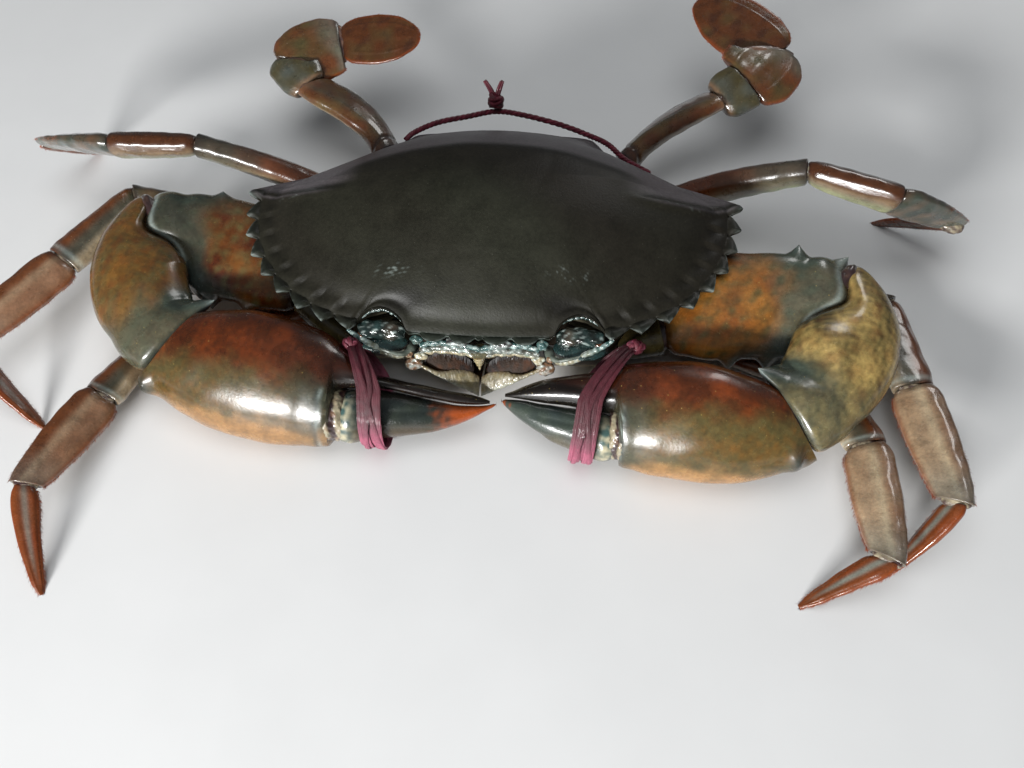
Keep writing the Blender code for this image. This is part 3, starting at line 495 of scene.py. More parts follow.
class CrabColours(bpy.types.PropertyGroup):
    """Colours of the crab and its ties."""
    shell: swatch("Shell", "#1b1813", "Plateau of the carapace")
    shell_green: swatch("Shell green", "#23251c", "Greener patches of the carapace")
    # Painted sheen: this colour lightens the shell's steep rear slope, the wings behind the side ridges and
    # the side ridge line
    shell_sheen: swatch("Shell slope", "#4b4648", "Steep rear slope of the carapace")
    teal: swatch("Teal", "#40615f", "Edges of teeth and wet face parts")
    # Painted glints and highlights: this pale colour is laid on tooth and lobe edges, wet rims, beads, spine
    # tips, lines on the eyestalks and joint rings
    rim: swatch("Rim", "#b4c2bd", "Wet pale rims and tooth tips")
    red: swatch("Claw red", "#5a260a", "Upper side of the claws")
    amber: swatch("Claw amber", "#7a4f1e", "Golden parts of the arms")
    khaki: swatch("Claw khaki", "#9c844e", "Lighter ground of the left wrist")
    ochre: swatch("Claw ochre", "#6e4c20", "Ochre parts of palms and wrists")
    olive: swatch("Claw olive", "#524828", "Middle of the palms and wrists")
    green: swatch("Grey-green", "#3a4238", "Ends of arms and fingers")
    slate: swatch("Slate", "#2b3433", "Dark knobs, spines and finger")
    cream: swatch("Claw cream", "#a87c4c", "Underside of the claws")
    dark: swatch("Dark", "#1c1210", "Fixed finger and dark joints")
    brown: swatch("Leg brown", "#5c3216", "Back edge of the walking legs")
    pink: swatch("Leg pink", "#7c5c44", "Sides of the legs")
    leaf: swatch("Leg green", "#8d946c", "Pale green sides of the last walking legs")
    pale: swatch("Leg cream", "#a8967a", "Lower sides of the legs")
    grey: swatch("Leg grey", "#6a7068", "Bands and grooves on the legs")
    orange: swatch("Tip orange", "#8c3e12", "Edges and points of the last segments")
    membrane: swatch("Membrane", "#3a2828", "Skin in the joints")
    ivory: swatch("Ivory", "#b9ae90", "Face, breastplate and pale joint skin")
    straw: swatch("Straw", "#9a8a5c", "Yellow patches of face and joint skin")
    lens: swatch("Mouth brown", "#3d2a1c", "Brown hollows of the mouth")
    bristle: swatch("Bristle", "#7a3c22", "Fringe hairs")
    eye: swatch("Eye", "#2a140c", "Cornea")
    tie: swatch("Tie", "#4a1420", "Ties in shade and at the rear")
    tie_pale: swatch("Tie pale", "#ac5c74", "Lit lower part of the claw ties")


class CrabSizes(bpy.types.PropertyGroup):
    """Sizes of the details."""
    tooth: FloatProperty(name="Tooth length", description="Length of a side tooth, in millimetres",
                         default=3.1, min=1.0, max=6.0)
    lip: FloatProperty(name="Edge radius", description="Rounding of a segment's edges, in millimetres",
                       default=0.5, min=0.1, max=1.5)
    hair: FloatProperty(name="Hair length", description="Length of the fringe hairs, in millimetres",
                        default=1.1, min=0.5, max=6.0)
    hair_radius: FloatProperty(name="Hair radius", description="Radius of a hair at its root, in millimetres",
                               default=0.06, min=0.03, max=0.3)
    strands: IntProperty(name="Ribbons", description="Flat ribbons in each claw tie", default=5, min=3,
                         max=12)


# Carapace

# Margin: its front and rear, the ellipse through the side teeth's tips, their count and their first and
# last angle in degrees, the front lobes' middles, half width and length, the orbit's inner and outer end
FRONT_Y = -42.6
REAR_Y = 47.0
TEETH_CENTRE = np.array((22.6, 1.0))
TEETH_RADII = np.array((49.15, 42.0))
TEETH = 9
FIRST_TOOTH, LAST_TOOTH = -73.0, 8.0
FRONT_LOBES = (4.6, 12.6)
LOBE_HALF = 3.5
LOBE_LENGTH = 2.0
ORBIT = (21.5, 34.0)
# Heights of the margin and the crown, the oval near the crown, the brim's depth, slopes of orbit roof and
# underside
RIM_FRONT_Z, RIM_SIDE_Z, RIM_REAR_Z, RIM_SIDE_Y = 26.3, 31.0, 19.5, 7.0
BODY_HEIGHT = 46.5
CROWN = np.array((0.0, 2.0))
OVAL = np.array((66.0, 42.0))
LIP = 1.7
ROOF_SLOPE = 0.85
UNDER_Z, UNDER_SLOPE = 18.6, -0.05
# Underside rings: size across, ahead and behind as parts of the margin, and how far down they lie
UNDER_RINGS = ((0.94, 0.965, 0.98, 0.2), (0.88, 0.93, 0.96, 0.45), (0.82, 0.885, 0.935, 0.75),
               (0.76, 0.84, 0.91, 1.0), (0.4, 0.42, 0.45, 1.0))
# Rear edge: x and y of its knots
REAR_EDGE = np.array(((0.0, 8.0, 16.0, 23.5, 28.0, 30.5), (47.0, 46.8, 46.3, 45.6, 44.2, 40.5)))
# Dents: x, y, half width, half length and depth. Painted glints: x, y, half width and half length of each
# patch of pale flecks
DENTS = ((21.5, -32.6, 6.5, 2.8, 0.30), (0.0, -35.5, 4.0, 3.0, 0.15), (34.0, -24.0, 9.0, 4.0, 0.20),
         (17.0, 18.0, 5.0, 12.0, 0.12))
GLINTS = ((24.0, -25.4, 4.5, 1.3), (2.9, 5.2, 0.5, 0.4), (54.0, 1.0, 5.0, 0.5))


def rim_z(y):
    """Height of the margin: rising from the front to the last tooth, then falling."""
    front = RIM_FRONT_Z + (RIM_SIDE_Z - RIM_FRONT_Z) * (y - FRONT_Y) / (RIM_SIDE_Y - FRONT_Y)
    rear = RIM_SIDE_Z + (RIM_REAR_Z - RIM_SIDE_Z) * (y - RIM_SIDE_Y) / (REAR_Y - RIM_SIDE_Y)
    return np.where(y < RIM_SIDE_Y, front, rear)


def orbit_edge(t):
    """Y of the orbit's upper edge from its inner end (0) to its outer end (1)."""
    return FRONT_Y + 3.2 + 5.2 * np.sin(np.pi * (0.12 + 0.76 * t)) ** 0.7


def orbit_chord(x):
    """Y of the margin as it would run on across the orbit."""
    return FRONT_Y + 4.0 + (np.abs(x) - 21.0) * 0.16


def roof_lift(x, y):
    """Rise of the orbit's upper edge above the margin, which keeps the notch on the shell's own slope."""
    band = step(19.0, 20.5, np.abs(x)) * (1 - step(34.0, 36.0, np.abs(x))) * (y < 0)
    return ROOF_SLOPE * np.clip(y - orbit_chord(x), 0, None) * band


def half_margin(tooth):
    """Half the margin, front middle to rear middle, as edge and base places with masks by column.

    Teeth: a tip rises steeply on its front side and falls in a long curve behind, measured in steps
    between tips; the notch mask is 1 in the hollow between two teeth.
    """
    x = np.linspace(0.0, 21.5, 66)[:-1]
    u = np.min(np.abs(x[:, None] - np.array(FRONT_LOBES)), axis=1) / LOBE_HALF
    depth = np.where(x < 16.1, LOBE_LENGTH * np.clip(u, 0, 1) ** 3,
                     np.interp(x, (16.1, 17.6, 19.3, 20.4, 21.5), (2.0, 2.1, 1.6, 2.6, 4.4)))
    depth = np.where(x < 1.1, 1.2 + 0.8 * step(0.0, 1.1, x), depth)
    y = FRONT_Y + 0.6 + x * x * 0.002 + depth
    edges = [np.column_stack((x, y))]
    bases = [np.column_stack((x, np.maximum(FRONT_Y + 3.05 + x * x * 0.002, y + 0.4)))]
    masks = [np.column_stack((depth / 4, np.zeros(len(x))))]
    t = np.linspace(0, 1, 32)
    x = ORBIT[0] + (ORBIT[1] - ORBIT[0]) * t
    y = orbit_edge(t)
    edges.append(np.column_stack((x, y)))
    bases.append(np.column_stack((x, y + 0.6)))
    masks.append(np.zeros((32, 2)))
    space = (LAST_TOOTH - FIRST_TOOTH) / (TEETH - 1)
    for number in range(TEETH):
        low, high = -0.20 if number == 0 else -0.40, 0.42 if number == TEETH - 1 else 0.60
        u = np.linspace(low, high, 23)[:-1]
        reach = np.where(u < 0, np.clip(1 + u / 0.40, 0, 1) ** 1.1, np.clip(1 - u / 0.62, 0, 1) ** 0.8)
        long = 1.3 if number == TEETH - 1 else 1.0
        angle = np.radians(FIRST_TOOTH + space * (number + u - 0.16 * reach))[:, None]
        wave = np.concatenate((np.cos(angle), np.sin(angle)), axis=1)
        edges.append(TEETH_CENTRE + (TEETH_RADII - (tooth * (1 - reach * long))[:, None]) * wave)
        bases.append(TEETH_CENTRE + (TEETH_RADII - tooth * 1.25) * wave)
        masks.append(np.column_stack((1 - reach, np.ones(22))))
    start = edges[-1][-1]
    waist = bezier((start, (54.0, 17.5), (37.0, 24.0), (30.5, 40.5)), np.linspace(0.02, 1, 34))
    rear_x = np.linspace(30.0, 0.0, 28)
    rear = cubic(*REAR_EDGE, rear_x)
    rest = np.concatenate((waist, np.column_stack((rear_x, rear))))
    edges.append(rest)
    bases.append(rest * 0.985)
    masks.append(np.zeros((len(rest), 2)))
    return np.concatenate(edges), np.concatenate(bases), np.concatenate(masks)


def full_margin(tooth):
    """Closed margin: the left half as built and the right half as its mirror image, with its masks."""
    edge, base, mask = half_margin(tooth)
    flip = np.array((-1.0, 1.0))
    return (np.concatenate((edge, edge[-2:0:-1] * flip)), np.concatenate((base, base[-2:0:-1] * flip)),
            np.concatenate((mask, mask[-2:0:-1])))


def softened(loop, wide):
    """Closed loop of places, each averaged with wide neighbours on both sides, three times over."""
    for _ in range(3):
        loop = sum(np.roll(loop, shift, axis=0) for shift in range(-wide, wide + 1)) / (2 * wide + 1)
    return loop


def dome(base, fraction):
    """Upper surface between crown (0) and margin (1): z = brim + (top - brim)(1 - f^2.25), with a slight
    flare at the edge and the orbits' roofs arched up. Each ring is an oval that takes on the margin as f^2.5,
    and the margin's bays only close to it."""
    whole = base.copy()
    notch = (np.abs(np.abs(base[:, 0]) - 27.3) < 7.0) & (base[:, 1] < 0)
    whole[notch, 1] = np.minimum(base[notch, 1], orbit_chord(base[notch, 0]))
    soft = softened(whole, 9)
    margin = soft + (base - soft) * step(0.70, 1.0, fraction)[:, None, None]
    angle = np.arctan2((soft[:, 1] - CROWN[1]) / OVAL[1], (soft[:, 0] - CROWN[0]) / OVAL[0])
    oval = CROWN + OVAL * np.column_stack((np.cos(angle), np.sin(angle)))
    f = fraction[:, None, None]
    place = CROWN + (oval + (margin - oval) * f ** 2.5 - CROWN) * f
    brim = rim_z(margin[..., 1])
    near = fraction[:, None]
    height = (brim + (BODY_HEIGHT - brim) * (1 - near ** 2.25) - 0.6 * bell(near, 0.93, 0.04)
              + roof_lift(*base.T) * step(0.70, 1.0, near) * near ** 4)
    return np.concatenate((place, height[..., None]), axis=-1)


def shoulder(x):
    """Where the dark plateau ends and the steep rear slope begins: y falls with the square of x."""
    return 15.0 - 0.0042 * x * x


def side_ridge(x, y):
    """Distance behind the ridge that runs in from the last tooth and curves forward, in millimetres."""
    return y + 0.2 - 6.5 * (np.clip(x - 44, 0, None) / 27) ** 2


def carapace_relief(grid, near, notch, toothed):
    """Height in millimetres added to the dome: dents over the orbits, the ridge in from the last tooth, the
    hollow behind it, faint curved furrows, a shoulder at the plateau's rear edge and low swells."""
    x, y = np.abs(grid[..., 0]), grid[..., 1]
    rise = 0.16 * waves(grid, 19.0, 3) * (1 - near ** 6)
    for cx, cy, wide, long, deep in DENTS:
        rise -= deep * bell(x, cx, wide) * bell(y, cy, long)
    ridge = side_ridge(x, y)
    rise += 0.8 * bell(ridge, 0, 1.7) * step(36, 50, x) * (1 - 0.5 * step(64, 71, x))
    rise -= 1.1 * bell(ridge, 6.5, 4.2) * step(34, 50, x) * (1 - near ** 12)
    rise += 0.5 * bell(y - shoulder(x), -1.0, 4.0) * (1 - step(46, 58, x))
    rise -= 0.9 * bell(near, 0.955, 0.028) * toothed * (notch - 0.35)
    rise -= 0.10 * bell(y + 22.3 + x * x * 0.004, 0, 1.0) * (1 - step(10, 22, x))
    rise -= 0.07 * bell(x - 15 - 2.2 * np.sin(y * 0.16), 0, 1.5) * step(-20, -10, y) * (1 - step(10, 18, y))
    return rise


def make_carapace(colours, sizes):
    """Shell from crown to brim, its lower lip, and the underside drawn in toward the middle."""
    edge, base, mask = full_margin(sizes.tooth)
    notch, toothed = mask.T
    roof = roof_lift(*base.T)
    lobed = (1 - toothed) * (np.abs(base[:, 0]) < 19) * (base[:, 1] < 0)
    fraction = 1 - (1 - np.linspace(0.015, 1, 104)) ** 1.25
    top = dome(base, fraction)
    out = np.linspace(0, 1, 9)[1:, None, None]
    base3 = np.column_stack((base, rim_z(base[:, 1]) + roof))
    edge3 = np.column_stack((edge, rim_z(edge[:, 1]) + 0.1 + roof))
    skirt = base3 + (edge3 - base3) * out
    arch = np.sin(np.pi * out[..., 0] * 0.9)
    skirt[..., 2] += arch * (toothed * (0.95 - 1.5 * notch) + lobed * (0.35 - 1.4 * notch))
    turn = np.linspace(0, np.pi / 2, 8)[1:, None, None]
    low3 = np.column_stack((base * 0.99, rim_z(base[:, 1]) - LIP + roof))
    curl = np.concatenate((np.repeat(1 - np.cos(turn), 2, axis=2), np.sin(turn)), axis=2)
    rim = edge3 + (low3 - edge3) * curl
    under = []
    for across, ahead, behind, drop in UNDER_RINGS:
        x = base[:, 0] * across
        y = base[:, 1] * np.where(base[:, 1] < 0, ahead, behind)
        z = rim_z(base[:, 1]) - LIP + roof
        under.append(np.column_stack((x, y, z + (UNDER_Z + UNDER_SLOPE * y - z) * drop)))
    grid = np.concatenate((top, skirt, rim, np.stack(under)))
    rows = len(grid)
    row = np.arange(rows)[:, None]
    brink = len(top) + 7
    upper = (row <= brink) * 1.0
    near = np.ones((rows, 1))
    near[:len(top), 0] = fraction
    grid[..., 2] += carapace_relief(grid, near, notch, toothed) * upper
    x, y = np.abs(grid[..., 0]), grid[..., 1]
    # Painted sheen: slope marks the steep rear slope behind the shoulder and flank the wing behind each side
    # ridge; the paint below lightens both with the sheen colour
    slope = step(-1.0, 2.5, y - shoulder(x)) * (1 - step(40, 56, x)) * upper
    ridge = side_ridge(x, y)
    flank = step(1.0, 4.0, ridge) * step(36, 50, x) * upper
    green = np.clip(0.5 + 0.7 * waves(grid, 46.0, 8), 0, 1) * (1 - step(-5, 22, y))
    # Painted shade: the first dent, behind each orbit, is darkened in the paint below
    cx, cy, wide, long, _ = DENTS[0]
    dents = bell(x, cx, wide) * bell(y, cy, long)
    tips = step(len(top) - 4, brink, row) * toothed * (1 - notch) * upper
    # Painted shade: the hollows between the teeth are darkened in the paint below
    hollow = bell(near, 0.955, 0.03) * toothed * notch * upper
    brim = bell(row, brink + 0.5, 1.2)
    glints = sum(bell(x, cx, wx) * bell(y, cy, wy) for cx, cy, wx, wy in GLINTS)
    glints = glints * np.clip(waves(grid, 1.2, 21) * 2.2 - 1.0, 0, 1) * upper
    inside = step(brink + 8, brink + 11, row)
    front = (1 - step(-39, -35, y)) * lobed
    # Painted glints: pale flecks along the edges of the teeth and front lobes, and in the glint patches, laid
    # on in the rim colour
    spark = np.clip(0.55 + 1.2 * waves(grid, 2.4, 24), 0, 1)
    brim_glints = brim * (toothed * (1 - 0.8 * notch) * 0.35 * spark + lobed * 0.18 * spark)
    tint = paint(grid, colours.shell, (colours.shell_green, green * 0.6),
                 (colours.shell * 0.62, step(-4, 10, y) * (1 - slope) * 0.5 * upper),
                 (colours.shell * 0.3, dents * 0.9), (colours.shell_sheen, slope * 0.9),
                 (colours.shell_sheen * 1.7, flank * 0.8), (colours.shell * 0.3, hollow * 0.35),
                 (colours.teal, tips * 0.05 + front * step(0.99, 1.0, near) * 0.05),
                 (colours.rim, brim_glints + glints * 0.25),
                 # Painted highlight: a pale line along the side ridge
                 (colours.shell_sheen, bell(ridge, 0, 0.5) * step(42, 52, x) * upper * 0.5),
                 (colours.ivory, inside * 0.5))
    # Thick damp shell: reads as dark slate with a dull sheen, mottled, with fine paler grains
    finish = finish_material("wet_dark_shell", mottle=0.30, patch=9.0, fine=0.9, rough=0.46, wet=0.06,
                             grain=0.05, grain_size=0.6, speckle=("#3c3c34", 1.5, 0.15), film=0.3, shine=0.18)
    add_piece("carapace_plate", [grid], [tint], finish, ("carapace",))


# Trunk and tail flap

# Corners of the left wall from front to rear
TRUNK_FACETS = ((17.0, -37.0), (35.0, -36.5), (44.5, -20.0), (46.0, -7.0), (46.0, 12.0), (42.0, 27.5),
                (29.5, 42.0), (12.0, 43.0))
# Rings of the trunk from the belly up: size across, ahead and behind, height, share of the shell's slope
TRUNK_RINGS = np.array(((0.05, 0.05, 0.05, 2.0, 0), (0.30, 0.28, 0.34, 2.0, 0), (0.55, 0.50, 0.62, 2.0, 0),
                        (0.72, 0.66, 0.80, 2.0, 0), (0.92, 0.84, 0.93, 3.6, 0), (1.0, 0.92, 1.0, 6.0, 0),
                        (1.0, 0.96, 1.0, 11.0, 0), (1.0, 1.0, 1.0, 18.3, 1.0)))
# Flap: rows, half thickness, rows from joint to joint; its middle line as y, z and half width
FLAP_ROWS, FLAP_HALF_THICK, FLAP_JOINT_ROWS = 110, 0.85, 20.0
FLAP_PROFILE = ((44.6, 14.5, 14.5), (44.6, 10.0, 15.5), (44.6, 5.5, 16.0), (42.4, 2.4, 16.2),
                (37.0, 0.85, 15.5), (26.0, 0.85, 13.0), (12.0, 0.85, 9.0), (-4.0, 0.85, 6.2),
                (-17.0, 0.85, 4.6), (-22.0, 0.85, 2.6))


def wall_plane(facet, side):
    """Plane just outside one facet of the trunk's wall, facing inward, as a point and its normal."""
    a, b = TRUNK_FACETS[facet], TRUNK_FACETS[facet + 1]
    out = unit(((b[1] - a[1]) * side, a[0] - b[0], 0))
    return np.array((a[0] * side, a[1], 0.0)) + out * WALL_GAP, -out


def make_trunk(colours):
    """Breastplate and side walls: the facets' polygon, filled out row by row, grooved between segments."""
    half = [(0.0, -37.0), *TRUNK_FACETS, (0.0, 43.0)]
    corners = np.array(half + [(-x, y) for x, y in reversed(half[1:-1])] + [half[0]])
    steps = np.linspace(0, len(corners) - 1, 181)[:-1]
    ring = np.column_stack([np.interp(steps, np.arange(len(corners)), corners[:, k]) for k in (0, 1)])
    knots = np.arange(len(TRUNK_RINGS))
    at = np.linspace(0, len(TRUNK_RINGS) - 1, 57)
    sx, front, rear, z, slope = (np.interp(at, knots, TRUNK_RINGS[:, k])[:, None] for k in range(5))
    x = ring[:, 0] * sx
    y = ring[:, 1] * np.where(ring[:, 1] < 0, front, rear)
    grid = np.stack((x, y, z + UNDER_SLOPE * slope * y), axis=-1)
    low = step(3.0, 2.1, grid[..., 2])
    seams = bell(np.mod(grid[..., 1] + 3 + np.abs(grid[..., 0]) * 0.25, 11.0), 5.5, 0.9) * low
    grid[..., 2] += 0.5 * seams
    # Painted shade: the wall's upper rows, under the shell's brim, take the joint-skin colour, and its front
    # wall behind the mouth is darkened more
    wall = step(4.0, 9.0, grid[..., 2])
    face = step(-30, -36, grid[..., 1]) * wall
    tint = paint(grid, colours.ivory, (colours.pale, 0.5 + 0.5 * waves(grid, 16, 5)),
                 (colours.membrane, seams * 0.6 + wall * 0.75), (colours.dark * 0.6, face * 0.8))
    # Thin belly shell: reads as soft dull ivory that lets a little light in
    finish = finish_material("belly_shell", mottle=0.2, patch=7.0, rough=0.4, wet=0.35, soft=0.1)
    add_piece("trunk_shell", [grid], [tint], finish, ("trunk",), sharp=40)
    line = smooth_line(FLAP_PROFILE, FLAP_ROWS)
    line[:, 1] = np.maximum(line[:, 1], FLAP_HALF_THICK)
    level = np.zeros(FLAP_ROWS)
    along = unit(np.column_stack((level, np.gradient(line[:, 0]), np.gradient(line[:, 1]))))
    outward = np.column_stack((level, -along[:, 2], along[:, 1]))
    c, s = superellipse(turns(48), 0.45)
    centre = np.column_stack((level, line[:, 0], line[:, 1]))
    joint_row = np.mod(np.arange(FLAP_ROWS), FLAP_JOINT_ROWS)
    width = line[:, 2] - 0.8 * bell(joint_row, 0, 1.6)
    grid = grounded(centre[:, None] + np.array((1.0, 0, 0)) * (c[None] * width[:, None])[..., None]
                    + outward[:, None] * (s * FLAP_HALF_THICK)[None, :, None], 0.0)
    joints = bell(joint_row, 0, 1.4)[:, None]
    tint = paint(grid, colours.ivory, (colours.membrane, joints * 0.6),
                 (colours.pale, 0.4 + 0.4 * waves(grid, 9, 6)))
    add_piece("tail_flap_plate", [grid], [tint], finish, ("tail_flap",))


# Face

# Left mouth plate: outer and inner end of its rim, inner and outer end of its base, the band's inner end
MOUTH_PLATE = ((18.6, -43.2, 17.6), (0.3, -45.8, 9.2), (0.3, -32.9, 3.2), (15.0, -35.9, 8.0),
               (0.3, -47.0, 8.0))
# Upper band of a mouth leg: fractions of its length and half widths there
BAND_WIDTH = np.array(((0.0, 0.3, 0.45, 0.65, 0.9, 1.0), (0.6, 0.65, 1.1, 2.3, 3.0, 2.9)))
# The mouth's own ways: back up its slope, and out of it
MOUTH_BACK, MOUTH_FACE = unit((0, 0.72, 0.69)), unit((0, -0.69, 0.72))


def make_maxillipeds(colours):
    """Outer mouth legs: bowed plates, brown inside, that hang from a cream upper band. The band runs from a
    knob at the side down to the middle and grows from 1 to 6 mm wide on the way, tipped to face up."""
    # Wet wrinkled plates: read as stained ivory with broken small highlights
    finish = finish_material("mouth_plate", mottle=0.40, patch=2.2, fine=0.5, rough=0.40, wet=0.35, soft=0.1,
                             grain=0.09, grain_size=0.7)
    back, face = MOUTH_BACK, MOUTH_FACE
    for label, side in SIDES:
        rim_outer, rim_inner, base_inner, base_outer, band_end = np.array(MOUTH_PLATE)
        t = np.linspace(0, 1, 44)[:, None, None]
        u = np.linspace(0, 1, 40)
        cross = np.concatenate((u, u[::-1]))[None, :, None]
        facing = np.repeat((0.0, 1.0), 40)[None, :, None]
        inner = rim_inner + (base_inner - rim_inner) * t
        outer = rim_outer + (base_outer - rim_outer) * t
        bow = (0.5 + 1.7 * np.sin(np.pi * t)) * np.sin(np.pi * np.minimum(cross, 0.9))
        thick = (1.0 + 0.5 * np.sin(np.pi * t)) * np.sin(np.pi * np.clip(cross, 0.03, 0.97)) ** 0.35
        grid = (inner + (outer - inner) * cross + unit((0, -0.7, -0.7)) * bow
                + unit((0, 0.6, 0.8)) * thick * facing)
        groove = bell(t + 0.1 * cross, 0.34, 0.02)[..., 0] * (1 - facing[..., 0])
        grid[..., 2] += 0.4 * groove + 0.12 * waves(grid, 2.2, 12) * (1 - facing[..., 0])
        grid = grid * np.array((side, 1.0, 1.0))
        # Painted shade, partly: the plates' inner faces, turned to the hollow behind them, take the mouth
        # brown
        inside = facing[..., 0]
        plate = paint(grid, colours.ivory * 0.6, (colours.amber, 0.25 + 0.25 * waves(grid, 5.0, 4)),
                      (colours.lens, inside), (colours.membrane, groove * 0.5))
        u = np.linspace(0, 1, 110)
        wide = cubic(*BAND_WIDTH, u)
        line = rim_outer + (band_end - rim_outer) * u[:, None] + back * wide[:, None]
        line = line + face * (0.5 * np.sin(np.pi * u))[:, None]
        turn = turns(36)
        c, s = superellipse(turn, 0.8)
        band = (line[:, None] + back * wide[:, None, None] * c[None, :, None]
                + face * (0.75 * s)[None, :, None])
        band = raised(band, 0.12 * waves(band, 3.4, 14) + 0.08 * waves(band, 0.9, 15))
        band = band * np.array((side, 1.0, 1.0))
        # Painted light: the band's edge turned into the mouth is darkened with mouth brown as painted shade,
        # and its lower front edge gets a painted highlight in the rim colour
        low = step(-0.3, -0.95, c)
        patches = np.clip(0.35 + 0.6 * waves(band, 3.0, 16), 0, 1)
        band_tint = paint(band, colours.ivory * 0.3, (colours.straw * 0.5, patches * 0.7),
                          (colours.olive, 0.1 + 0.4 * waves(band, 1.7, 18)),
                          (colours.lens, step(0.4, 1.0, c) * 0.5),
                          (colours.rim, low * 0.2), (colours.pink, (bell(u, 0.0, 0.12) * 0.5)[:, None]))
        add_piece(f"maxilliped_{label}_plate", [grid, band], [plate, band_tint], finish,
                  (f"maxilliped_{label}",))


# Folds under the shell's front: height, y, radius and two colours, along a line of (x, y and height to
# add). Lumps: middle, radii and two colours. Wedge between the two halves, and the orbit's lower rim:
# places along them. Hollow: middle and half length
FACE_FOLDS = ((23.1, -40.2, 0.9, "teal", "rim"), (21.9, -40.9, 0.85, "grey", "rim"),
              (20.6, -40.9, 0.8, "ivory", "teal"))
FOLD_LINE = ((0.0, -0.5, -1.0), (5.0, 0.0, 0.0), (11.0, 0.2, 0.2), (16.4, -0.2, -0.7))
FACE_LUMPS = (((6.2, -40.0, 24.2), (3.2, 1.4, 0.9), "shell_sheen", "rim"),
              ((12.2, -39.8, 24.0), (2.6, 1.3, 0.9), "teal", "rim"),
              ((17.2, -39.9, 24.3), (1.7, 1.3, 1.5), "teal", "grey"),
              ((18.3, -42.6, 17.0), (2.6, 1.8, 1.9), "pink", "rim"),
              ((16.2, -41.8, 19.6), (1.8, 1.2, 1.0), "ivory", "rim"),
              ((19.6, -41.9, 20.0), (1.2, 0.9, 0.8), "pink", "ivory"))
HOLLOW = np.array((8.7, -41.2, 15.7))
HOLLOW_HALF = 7.0
FACE_WEDGE = ((0.0, -40.9, 21.4), (0.0, -41.6, 19.4), (0.0, -42.3, 17.4), (0.0, -42.9, 15.6))
LOWER_RIM = ((20.4, -41.6, 20.6), (22.4, -42.2, 19.9), (26.0, -41.8, 20.6), (30.0, -40.6, 22.2),
             (34.0, -39.2, 24.0), (36.4, -38.2, 25.6))


